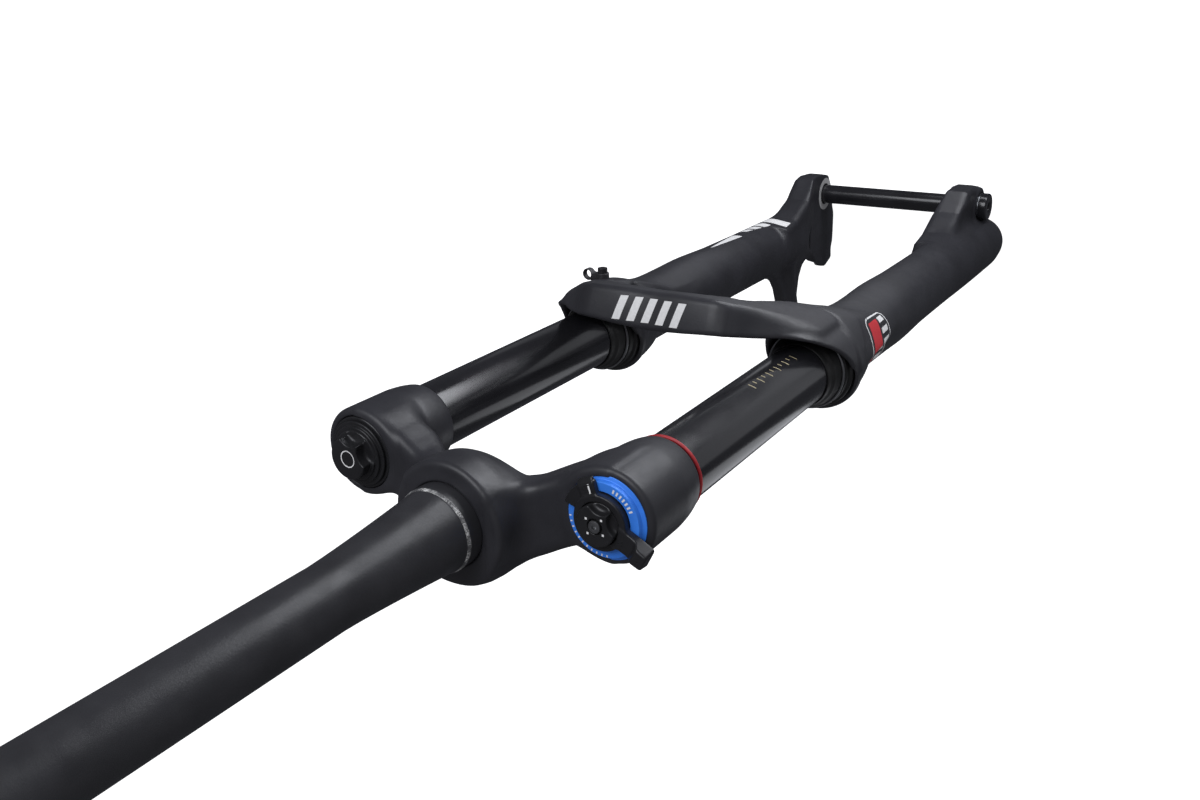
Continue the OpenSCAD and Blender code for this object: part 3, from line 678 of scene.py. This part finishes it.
def casting_field(x, y, z):
    """The lowers. The arch and the feet are worked out only near their own heights."""
    side, leg = np.abs(x), leg_polar(x, y)
    edge = leg_edge(z) + leg_ahead(z) * (leg_y - y) / np.maximum(leg, 5)
    shape = smooth_max((leg - edge) * leg_edge.scale(z), slab(z, foot_z, collar_z), 2.2)
    for where, part, k in ((z > collar_z - 90, crest_field, 4), (z < axle_z + 125, feet_field, 6)):
        if np.any(where):
            value = np.full(np.shape(x), 50.0)
            value[where] = part(x[where], y[where], z[where])
            shape = smooth_min(shape, value, k)
    lug, along = rod_field(x, y, z, guide_at, (0, -1, 0), 4.6)
    shape = smooth_min(shape, smooth_max(lug, slab(along, -10, 0), 0.8), 4)
    hood = leg - 25.4 + np.clip((z - collar_z - 5.5) * 0.5, 0, 1)
    shape = cut(shape, smooth_max(hood, collar_z - z, 1.0), 2.0)
    eye = np.maximum(np.hypot(x - eye_pos[0], y - eye_pos[1]) - eye_r - 1.1, np.abs(z - guide_at[2]) - 3)
    shape = cut(shape, eye, 0.3)
    for r, low_end, high_end in ((bore_r, floor_z, collar_z + 5), (21.6, collar_z - 20, collar_z),
                                 (23.6, collar_z - 12, collar_z + 2), (9.2, foot_z - 9, seat_z),
                                 (4.2, foot_z - 9, floor_z + 2)):
        shape = cut(shape, np.maximum(leg - r, slab(z, low_end, high_end)), 0.5)
    hub_gap = hub_half - np.clip((z - axle_z - 24) * 0.27, 0, 40)
    shape = cut(shape, np.maximum(side - hub_gap, z - axle_z - 50), 1.6)
    axle = np.hypot(y - axle_y, z - axle_z)
    shape = cut(shape, smooth_max(axle - 7.55, x - hub_half - 17.6, 0.4), 0.9)
    shape = cut(shape, smooth_max(axle - 10.9, x + hub_half + 16.4, 0.4), 0.8)
    for name in ("brake_low", "brake_high"):
        off, along = rod_field(x, y, z, mount_pos(name), post_axis, 2.5)
        shape = cut(shape, np.maximum(off, slab(along, -16, 4)), 0.5)
    off, along = rod_field(x, y, z, guide_at, (0, -1, 0), 1.6)
    return cut(shape, np.maximum(off, slab(along, -12, 4)), 0.3)


placed(solid("lowers_casting", casting_field, (cast_low, cast_high), 0.9),
       "lowers", "satin_black", "lower_casting")


# ---------------- tubes and steerer

st_bore = 15.9
for side, centre in zip(("left", "right"), both_legs):
    wall = [(st_bore, st_low), (st_r, st_low), (st_r, st_high), (st_bore, st_high)]
    tube = spin(f"stanchion_tube_{side}", wall, [centre], radius=0.8)
    placed(tube, "uppers", "gloss_black", f"stanchion_{side}")

steerer_low, steerer_high = mm_box("steerer")
foot, top = steerer_low[2], steerer_high[2]
seat_h, taper_end = mounts["race_seat"]["dims"]["length_mm"], mount_pos("steerer_pin")[2]
neck_r, neck_z = seat_r - 0.7, seat_h + 1.5
taper = [(neck_r - (neck_r - top_r) * (1 - (1 - t) ** 1.25), neck_z + (taper_end - neck_z) * t)
         for t in np.linspace(0, 1, 9)]
steerer = spin("steerer_tube", [(16, foot), (seat_r, foot), (seat_r, seat_h), *taper, (top_r, top),
                                (11.8, top), (11.8, taper_end), (16, 10)], radius=0.5, segments=192)
placed(steerer, "uppers", "steerer_black", "steerer")
steerer.data.materials.append(finish("seat_metal"))
for face in steerer.data.polygons:
    if -1 < face.center.z / MM < seat_h + 1.2 and math.hypot(*face.center.xy) / MM > 17.5:
        face.material_index = 1


# ---------------- seals and rings

outside = [(st_r + 0.06, -0.3), (st_r + 0.5, 0), (18.4, -0.4), (19, -3.2), (20.2, -5.6), (20.4, -7),
           (21.7, -10.6), (21.5, -12), (21.7, -13.4), (23.2, -14.3), (23.4, -18), (24.9, -19)]
foot_and_bore = [(25.15, 0.5), (24.9, 0.05), (23.55, 0), (23.55, -11), (20.5, -11), (20.5, -2), (19.2, 2),
                 (st_r + 0.06, 3)]
seal = [(r, lip_z + h) for r, h in outside] + [(r, collar_z + h) for r, h in foot_and_bore]
placed(spin("wiper_seal_pair", seal, both_legs, radius=0.45), "lowers", "seal_rubber", "wiper_seals")


def ring_of_wire(name, radius, wire, z, centres):
    circle = [(radius + wire * math.cos(a), z + wire * math.sin(a))
              for a in np.linspace(0, 2 * math.pi, 14)[:-1]]
    return spin(name, circle, centres, radius=0)


placed(ring_of_wire("seal_spring_pair", 22.25, 0.78, lip_z - 12, both_legs), "lowers", "steel",
       "seal_springs")
sag_low, sag_high = mm_box("sag_ring")
sag_mid = (sag_low[2] + sag_high[2]) / 2
placed(ring_of_wire("sag_o_ring", st_r + 0.9, 0.85, sag_mid, both_legs[1:]), "sag", "red_rubber", "sag_ring")


# ---------------- top caps

def scoops(x, y, z, centre, r, headings, z0):
    """Finger scoops into the side of a knob of radius r, from z0 up. They widen a little upwards."""
    best, out = np.full(np.shape(x), 99.0), r + 3.4
    for a in np.radians(headings):
        cx, cy = centre[0] + out * math.cos(a), centre[1] + out * math.sin(a)
        scoop_r = 6.4 + 0.12 * (z - z0)
        best = np.minimum(best, smooth_max(np.hypot(x - cx, y - cy) - scoop_r, z0 - z, 2.0))
    return best


def turned(rho, z, steps, k=0.7):
    """Stacked discs of (radius, low, high) round the axis that rho is measured from, as a field."""
    shape = None
    for r, low_end, high_end in steps:
        disc = smooth_max(rho - r, slab(z, low_end, high_end), k)
        shape = disc if shape is None else smooth_min(shape, disc, 0.3)
    return shape


cap_low, cap_high = mm_box("air_valve_cap")


def air_cap_field(x, y, z):
    base, top_z, grip_r = cap_low[2], cap_high[2], 10.4
    rho = np.hypot(x - air[0], y - air[1])
    shape = turned(rho, z, [(16.4, base, base + 1.5), (14.4, base, base + 3), (12.3, base, base + 4.2),
                            (grip_r, base, top_z)])
    shape = cut(shape, scoops(x, y, z, air, grip_r, (-100, -162), base + 3.4), 0.7)
    dish = np.hypot(rho, z - top_z - 30) - 30.5
    shape = cut(shape, dish, 0.4)
    shape = cut(shape, np.maximum(rho - 6.6, z - base - 4.2), 0.3)
    return cut(shape, np.maximum(rho - 4.4, z - base - 6.6), 0.3)


placed(solid("air_cap_knob", air_cap_field, (cap_low, cap_high), 0.3),
       "valve_cap", "black_anodised", "air_valve_cap")
plug_top, flange = mm_box("air_top_cap")[1][2], boss_top + 0.8
plug_r = st_bore - 0.02
placed(spin("air_cap_plug", [(3.9, st_high - 15), (plug_r, st_high - 15), (plug_r, st_high), (18.1, st_high),
                             (18.1, flange - 0.5), (17.5, flange), (6.5, flange), (6.5, plug_top),
                             (3.9, plug_top)], both_legs[:1]), "uppers", "black_anodised", "air_top_cap")

ring_low, ring_high = mm_box("scale_ring")
ring_foot, ring_top = ring_low[2], ring_high[2] + 1.4
placed(spin("damper_scale_ring", [(10.5, ring_foot), (19.35, ring_foot), (19.35, ring_foot + 0.5),
                                  (17.6, ring_foot + 1.1), (17.3, ring_top), (13.1, ring_top),
                                  (13.1, ring_foot + 0.9), (10.5, ring_foot + 0.9)], both_legs[1:]),
       "uppers", "blue_anodised", "scale_ring")
lever_low, lever_high = mm_box("mode_lever")
lever_z = lever_low[2]


def from_damper(x, y, degrees):
    """Places out along a heading from the damper's axis, and across it."""
    a = math.radians(degrees)
    dx, dy = x - damper[0], y - damper[1]
    return dx * math.cos(a) + dy * math.sin(a), dy * math.cos(a) - dx * math.sin(a)


def lever_field(x, y, z):
    """A disc with a sector over the ring, a paddle with a raised end, and a short tab."""
    rho = np.hypot(x - damper[0], y - damper[1])
    h, under = z - lever_z, 1.6
    disc = smooth_max(rho - 12.7, slab(h, 0, 4.9), 0.9)
    u, v = from_damper(x, y, -50)
    half = math.radians(32)
    sector = smooth_max(np.abs(v) * math.cos(half) - u * math.sin(half), rho - 18.4, 1.0)
    disc = smooth_min(disc, smooth_max(sector, slab(h, under, 3.9), 0.7), 0.9)
    u, v = from_damper(x, y, 154)
    draft = np.clip(h - under, 0, 8) * 0.22
    width = 5.5 - np.clip((u - 18) * 0.06, 0, 1) - draft
    roof = 5.2 + 3.4 / (1 + np.exp(-(u - 18.9) * 1.5))
    paddle = smooth_max(smooth_max(np.abs(v) - width, slab(u, 8, 25.8), 1.4), slab(h, under, roof), 0.9)
    u, v = from_damper(x, y, -68)
    tab = smooth_max(smooth_max(np.abs(v) - 3.9, slab(u, 8, 20), 1.0),
                     slab(h, under, np.minimum(4.4, 4.4 - (u - 17) * 0.5)), 0.7)
    shape = smooth_min(smooth_min(disc, paddle, 1.2), tab, 0.9)
    shape = cut(shape, np.maximum(rho - 9.7, 2.4 - h), 0.3)
    return cut(shape, rho - 4.5, 0.3)


placed(solid("mode_lever_arm", lever_field, (lever_low, lever_high), 0.3),
       "mode", "black_anodised", "mode_lever")
knob_low, knob_high = mm_box("low_speed_knob")
dial_top = knob_high[2] - 1


def knob_field(x, y, z):
    base, grip_r = knob_low[2], 9.4
    rho = np.hypot(x - damper[0], y - damper[1])
    shape = turned(rho, z, [(grip_r, base, dial_top)], 1.0)
    shape = cut(shape, scoops(x, y, z, damper, grip_r, (-103, -165), base + 2), 0.7)
    shape = cut(shape, np.maximum(rho - 3.6, dial_top - 1.6 - z), 0.3)
    return cut(shape, rho - 1.6, 0.2)


placed(solid("low_speed_dial", knob_field, (knob_low, knob_high), 0.25),
       "low_speed", "black_anodised", "low_speed_knob")


def screw(name, centre, axis, head_r, head_h, shank_r, length, socket_r, recess):
    """A cap screw with a hexagonal socket. centre is the top of its head, and axis points out of it."""
    spinner = Vector(axis).to_track_quat("Z", "Y").to_matrix()
    steps, sixth = 48, math.pi / 3
    turns = np.linspace(0, 2 * math.pi, steps, endpoint=False)
    hexagon = [math.cos(sixth / 2) / math.cos((a + sixth / 2) % sixth - sixth / 2) * socket_r for a in turns]
    rings = [[r] * steps + [h] for r, h in (
        (0.02, -length), (shank_r - 0.3, -length), (shank_r, -length + 0.4), (shank_r, -head_h),
        (head_r - 0.2, -head_h), (head_r, -head_h + 0.2), (head_r, -0.45), (head_r - 0.15, -0.12),
        (head_r - 0.5, 0))]
    rings += [[gain * r for r in hexagon] + [h]
              for gain, h in ((1.08, 0), (1.0, -0.15), (1.0, -recess), (0.02, -recess - 0.3))]
    verts = [(r * math.cos(a), r * math.sin(a), ring[-1]) for ring in rings for r, a in zip(ring, turns)]
    last = len(verts) - steps
    faces = [(k + i, k + (i + 1) % steps, k + steps + (i + 1) % steps, k + steps + i)
             for k in range(0, last, steps) for i in range(steps)]
    faces += [tuple(reversed(range(steps))), tuple(range(last, last + steps))]
    moved = [np.array(spinner @ Vector(v)) + np.array(centre) for v in verts]
    obj = new_mesh(name, moved, faces, sharp=35)
    weigh(obj)
    return obj


bolt_low, bolt_high = mm_box("knob_bolt")
bolt_top = bolt_high[2] - 1
placed(screw("dial_bolt", (*damper, bolt_top), (0, 0, 1), 2.9, 2.2, 1.5, bolt_top - bolt_low[2], 1.3, 1.4),
       "low_speed", "steel", "knob_bolt")


# ---------------- hose guide, axle and foot knob

def guide_field(x, y, z):
    rho, along = rod_field(x, y, z, guide_at, (0, -1, 0), 3.8)
    seat = guide_high[1] - clip_low[1] - 3
    foot_pad = smooth_max(rho, slab(along, 0.02, seat), 0.5)
    eye = smooth_max(np.hypot(x - eye_pos[0], y - eye_pos[1]) - eye_r - 0.9, np.abs(z - guide_at[2]) - 2, 0.6)
    arm = smooth_max(smooth_max(np.abs(z - guide_at[2]) - 2.2, slab(along, 0.1, seat - 0.4), 0.5),
                     slab(x, guide_at[0], eye_pos[0]), 0.5)
    shape = smooth_min(smooth_min(foot_pad, arm, 1.0), eye, 0.8)
    shape = cut(shape, np.hypot(x - eye_pos[0], y - eye_pos[1]) - eye_r, 0.5)
    return cut(shape, rho + 2.2, 0.3)


clip_low, clip_high = mm_box("hose_guide_bolt")
placed(solid("hose_clip", guide_field, (guide_low, guide_high), 0.2), "lowers", "dark_plastic", "hose_guide")
placed(screw("hose_clip_bolt", (guide_at[0], clip_low[1], guide_at[2]), (0, -1, 0), 2.9, 3, 1.55,
             clip_high[1] - clip_low[1], 1.2, 2), "lowers", "black_anodised", "hose_guide_bolt")

axle_centre = [(0, axle_y, axle_z)]
head_x, axle_end = axle_low[0], axle_high[0]
placed(spin("thru_axle_rod", [(4.5, head_x + 14), (4.5, axle_end), (6.6, axle_end), (7.5, axle_end - 1),
                              (7.5, head_x + 6), (10.4, head_x + 6), (10.4, head_x + 0.8), (9.6, head_x),
                              (4.6, head_x), (3.4, head_x + 1.2), (3.4, head_x + 13)], axle_centre, "x", 0.4),
       "axle", "gloss_black", "thru_axle")
washer_low, washer_high = mm_box("axle_washer")
placed(spin("axle_bearing_washer", [(7.56, washer_low[0]), (10.35, washer_low[0]), (10.35, washer_high[0]),
                                    (7.56, washer_high[0])], axle_centre, "x", 0.3),
       "axle_ring", "grey_alloy", "axle_washer")
rebound_low, rebound_high = mm_box("rebound_knob")


def rebound_field(x, y, z):
    base, top_z = rebound_low[2], rebound_high[2]
    dx, dy = x - damper[0], y - damper[1]
    rho, heading = np.hypot(dx, dy), np.arctan2(dy, dx)
    shape = turned(rho, z, [(9, base, base + 4), (8.6, base, top_z)], 0.8)
    step = math.pi / 6
    swing = np.mod(heading + step / 2, step) - step / 2
    notch = np.sqrt((rho * np.cos(swing) - 9.9) ** 2 + (rho * np.sin(swing)) ** 2) - 1.6
    shape = cut(shape, smooth_max(notch, z - base - 8, 0.6), 0.5)
    shape = cut(shape, np.maximum(rho - 2.5, base + 6 - z), 0.2)
    return cut(shape, np.maximum(rho - 1.45, z - base - 3.5), 0.2)


placed(solid("rebound_dial", rebound_field, (rebound_low, rebound_high), 0.3),
       "rebound", "red_anodised", "rebound_knob")


# ---------------- printed marks

def patch(corners, across, along):
    """Points over a four-sided outline, as a grid."""
    a, b, c, d = (np.array(p, float) for p in corners)
    s, t = np.meshgrid(np.linspace(0, 1, across + 1), np.linspace(0, 1, along + 1), indexing="ij")
    s, t = s[..., None], t[..., None]
    return a * (1 - s) * (1 - t) + b * s * (1 - t) + c * s * t + d * (1 - s) * t


def arc_patch(r0, r1, a0, a1, across, along):
    """Grid points over part of a ring, in its own plane."""
    a = np.radians(np.linspace(a0, a1, along + 1))
    r, a = np.meshgrid(np.linspace(r0, r1, across + 1), a, indexing="ij")
    return np.stack([r * np.cos(a), r * np.sin(a)], -1)


def film(name, grids, field, place, inward, body, slot, ink, proud):
    """Thin closed films that stand proud of a field's surface. grids are flat patches, place() puts
    their points in space, and inward() says which way each is carried until it meets the surface."""
    verts, faces, start = [], [], 0
    for grid in grids:
        n, m = grid.shape[:2]
        p = np.array([place(*q) for q in grid.reshape(-1, 2)], float)
        for _ in range(60):
            p = p + inward(p) * np.clip(field(*p.T), -1.5, 1.5)[:, None] * 0.8
        g = gradient(field, p)
        g /= np.linalg.norm(g, axis=1, keepdims=True)
        verts += [p + g * proud, p - g * 0.1]
        i, j = np.meshgrid(np.arange(n - 1), np.arange(m - 1), indexing="ij")
        a = (i * m + j).ravel()
        top = np.stack([a, a + m, a + m + 1, a + 1], 1)
        rim = [k * m for k in range(n - 1)] + [(n - 1) * m + k for k in range(m - 1)]
        rim += [k * m + m - 1 for k in range(n - 1, 0, -1)] + list(range(m - 1, 0, -1))
        rim = np.array(rim)
        after = np.roll(rim, -1)
        sides = np.stack([after, rim, rim + n * m, after + n * m], 1)
        sheet = np.concatenate([top, top[:, ::-1] + n * m, sides])
        if np.cross(p[m] - p[0], p[1] - p[0]) @ g[0] < 0:
            sheet = sheet[:, ::-1]
        faces.append(sheet + start)
        start += 2 * n * m
    placed(new_mesh(name, np.concatenate(verts), np.concatenate(faces), sharp=50), body, slot, ink=ink)


def on_casting(name, grids, place, inward, ink="ink_white"):
    film(name, grids, casting_field, place, inward, "lowers", "satin_black", ink, 0.08)


def downward(p):
    return np.tile((0.0, 0, -1), (len(p), 1))


def to_leg(p):
    """Level, towards the axis of the nearer leg."""
    gap = np.stack([np.sign(p[:, 0]) * leg_x - p[:, 0], leg_y - p[:, 1], 0 * p[:, 0]], 1)
    return gap / np.linalg.norm(gap, axis=1, keepdims=True)


def round_leg(side, r=27.0):
    """Places (heading, z) beside one leg."""
    def place(heading, z):
        a = math.radians(heading)
        return side * leg_x + r * math.cos(a), leg_y + r * math.sin(a), z
    return place


def over_damper(z):
    return lambda x, y: (damper[0] + x, damper[1] + y, z)


arch_bars = []
for k in range(5):
    x0 = 17.5 - 9 * k
    arch_bars.append(patch([(x0, -56.6), (x0 - 4.8, -56.8), (x0 - 1, -44), (x0 + 3.8, -43.8)], 4, 14))
on_casting("arch_bars", arch_bars, lambda x, y: (x, y, arch_top + 4), downward)

block = [patch([(-138, -270), (-138, -284), (-205, -284), (-205, -270)], 6, 30)]
on_casting("leg_badge_block", block, round_leg(-1), to_leg, "ink_red")
badge = [patch([(h, -287), (h, -298), (h - 8, -298), (h - 8, -287)], 5, 4)
         for h in (-138, -153, -168, -183, -198)]
corners = []  # heading and height of each corner's centre, with the way out from it
for heading, z, a0 in ((-142, -271, 0), (-201, -271, 90), (-201, -297, 180), (-142, -297, 270)):
    corners += [(heading, z, math.cos(a), math.sin(a)) for a in np.radians(np.linspace(a0, a0 + 90, 7))]
path = []
for a, b in zip(np.array(corners), np.array(corners[1:] + corners[:1])):
    steps = max(1, int(math.hypot((a[0] - b[0]) * 0.37, a[1] - b[1]) / 1.2))
    path += [a + (b - a) * t for t in np.linspace(0, 1, steps, endpoint=False)]
badge.append(np.array([[(h + c * wide, z + s * tall) for h, z, c, s in path]
                       for wide, tall in ((8.5, 4.2), (10.6, 5.0))]))
on_casting("leg_badge_frame", badge, round_leg(-1), to_leg)

wedges = [patch([(-89, -384), (-76, -428), (-99, -428), (-91.5, -386)], 22, 8)]
for z, edge in ((-443, -94), (-454, -100), (-465, -106)):
    wedges.append(patch([(-74, z), (-74, z - 8), (edge, z - 8), (edge + 5, z)], 6, 14))
wedges.append(patch([(-78, -477), (-78, -487), (-129, -486), (-131, -478)], 6, 20))
on_casting("leg_wedges", wedges, round_leg(1), to_leg)

ticks = []
for k in range(11):
    z, long_tick = -150 - 5 * k, k % 2 == 0
    ticks.append(patch([(-98, z), (-98, z - 0.7), (-113 if long_tick else -106, z - 0.7),
                        (-113 if long_tick else -106, z)], 1, 6))
film("sag_scale", ticks, lambda x, y, z: leg_polar(x, y) - st_r, round_leg(-1), to_leg, "uppers",
     "gloss_black", "ink_gold", 0.03)

bars = [arc_patch(14.3, 16.1, h, h + 3, 2, 2) for h in range(206, 252, 7)]
bars += [arc_patch(15.9, 16.9, h, h + 2.2, 2, 2) for h in range(4, 96, 9)]
film("ring_ticks", bars, lambda x, y, z: z - ring_top, over_damper(ring_top + 1), downward, "uppers",
     "blue_anodised", "ink_white", 0.03)
dots = []
for h in np.radians((-36, 47, 144, 227)):
    u, v = 5 * math.cos(h), 5 * math.sin(h)
    dots.append(patch([(u - 0.5, v - 0.5), (u + 0.5, v - 0.5), (u + 0.5, v + 0.5), (u - 0.5, v + 0.5)], 1, 1))
film("dial_dots", dots, knob_field, over_damper(knob_high[2] + 1), downward, "low_speed", "black_anodised",
     "ink_white", 0.04)
film("lever_mark", [arc_patch(13.2, 17.4, -75, -72, 4, 2)], lever_field, over_damper(lever_z + 6), downward,
     "mode", "black_anodised", "ink_white", 0.04)
film("air_cap_circle", [arc_patch(3.8, 4.35, 0, 359, 2, 60)], air_cap_field,
     lambda x, y: (air[0] + x, air[1] + y, cap_high[2] + 1), downward, "valve_cap", "black_anodised",
     "ink_white", 0.04)

for side, name in ((1.0, "left"), (-1.0, "right")):
    film(f"hub_face_{name}", [arc_patch(8.7, 13, 0, 359.5, 4, 90)], lambda x, y, z: hub_half - np.abs(x),
         lambda y, z: (side * (hub_half - 1), axle_y + y, axle_z + z),
         lambda p: np.tile((side, 0, 0), (len(p), 1)), "lowers", "satin_black", "bare_metal", 0.05)


# ---------------- CAD nodes that stay

for name, node in frame["nodes"].items():
    slot_name = next(s["material_slot"] for s in frame["record"]["subparts"] if s["node"] == name)
    node.data.materials.clear()
    node.data.materials.append(finish(slot_name))


# ---------------- floor, light and camera

def pale_floor():
    """A pale floor. Reflections see it as a darker room, so that black gloss stays black."""
    n = Nodes("studio_floor")
    path = n.add("LightPath")
    tint = n.mix(n.spread(n.noise(0.7), 0, 1), (0.86, 0.86, 0.86, 1), (0.9, 0.9, 0.9, 1))
    n.set(Base_Color=tint, Roughness=0.9)
    glow = n.add("Emission", {"Color": (1, 1, 1, 1), "Strength": 0.9})
    both = n.add("AddShader", {0: n.shader.outputs[0], 1: glow.outputs[0]})
    shade = n.mix(path.outputs["Is Glossy Ray"], (0.34, 0.345, 0.36, 1), (0.05, 0.052, 0.06, 1))
    dim = n.add("Emission", {"Color": shade, "Strength": 1.0})
    seen = n.add("MixShader", {
        0: path.outputs["Is Camera Ray"], 1: dim.outputs[0], 2: both.outputs[0]})
    n.tree.links.new(seen.outputs[0], n.tree.nodes["Material Output"].inputs["Surface"])
    half, z = 12000, rebound_low[2] - 1
    floor = new_mesh("studio_floor", [(-half, -half, z), (half, -half, z), (half, half, z), (-half, half, z)],
                     [(0, 1, 2, 3)], smooth=False)
    floor.data.materials.append(n.owner)
    floor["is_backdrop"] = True


def room_light():
    """White to the camera, and a dim grey to the fork."""
    n = Nodes("studio", "worlds", "Background")
    path = n.add("LightPath")
    dim = n.mix(path.outputs["Is Glossy Ray"], (0.34, 0.34, 0.35, 1), (0.09, 0.09, 0.1, 1))
    n.set(Color=n.mix(path.outputs["Is Camera Ray"], dim, (1, 1, 1, 1)), Strength=1.0)
    bpy.context.scene.world = n.owner


def soft_box(name, at, target, width, length, radiance):
    """An area light, in metres, that the camera doesn't see. The tubes mirror the ones below them."""
    light = bpy.data.lights.new(name, "AREA")
    light.shape = "RECTANGLE"
    light.size, light.size_y = width, length
    light.energy = radiance * math.pi * width * length
    light.color = (0.93, 0.95, 1)
    obj = bpy.data.objects.new(name, light)
    bpy.context.scene.collection.objects.link(obj)
    aim = (Vector(target) - Vector(at)).normalized()
    obj.location = at
    obj.rotation_mode = "QUATERNION"
    obj.rotation_quaternion = aim.to_track_quat("-Z", "Y")
    obj.visible_camera = False


def photo_camera(at, right, ahead, lens):
    """A camera placed in metres. right is the picture's right, and ahead is the way it looks."""
    data = bpy.data.cameras.new("camera")
    data.lens = lens
    data.clip_start, data.clip_end = 0.01, 50
    camera = bpy.data.objects.new("camera", data)
    bpy.context.scene.collection.objects.link(camera)
    right, ahead = Vector(right).normalized(), Vector(ahead).normalized()
    up = right.cross(ahead).normalized()
    camera.matrix_world = Matrix.Translation(at) @ Matrix((right, up, -ahead)).transposed().to_4x4()
    bpy.context.scene.camera = camera


pale_floor()
room_light()
near = (0, 0, -0.1)
soft_box("key", (0.12, -0.88, 0.84), near, 0.8, 0.8, 4.6)
soft_box("key_right", (-0.52, -0.82, 0.62), near, 0.7, 0.7, 0.7)
soft_box("under_steerer", (-0.2, -0.56, -0.5), (0, 0, 0.15), 0.55, 0.32, 6.4)
soft_box("under_legs", (-0.05, -0.16, -0.5), (-0.05, -0.16, 0), 0.36, 0.13, 0.5)
soft_box("under_tubes", (-0.33, -0.1, -0.5), (-0.33, -0.1, 0), 0.22, 0.26, 0.4)
soft_box("under_left", (0.27, -0.17, -0.5), (0.27, -0.17, 0), 0.25, 0.12, 0.12)
soft_box("under_rear", (-0.18, 0.25, -0.5), (-0.18, 0.25, 0), 0.3, 0.15, 0.8)
photo_camera((-0.298365, -0.224869, 0.330639), (-0.84225, 0.02809, -0.53836), (0.51118, 0.35879, -0.78100),
             33.857)
view = bpy.context.scene.view_settings
view.view_transform = "Standard"
view.look = "None"

low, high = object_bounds()
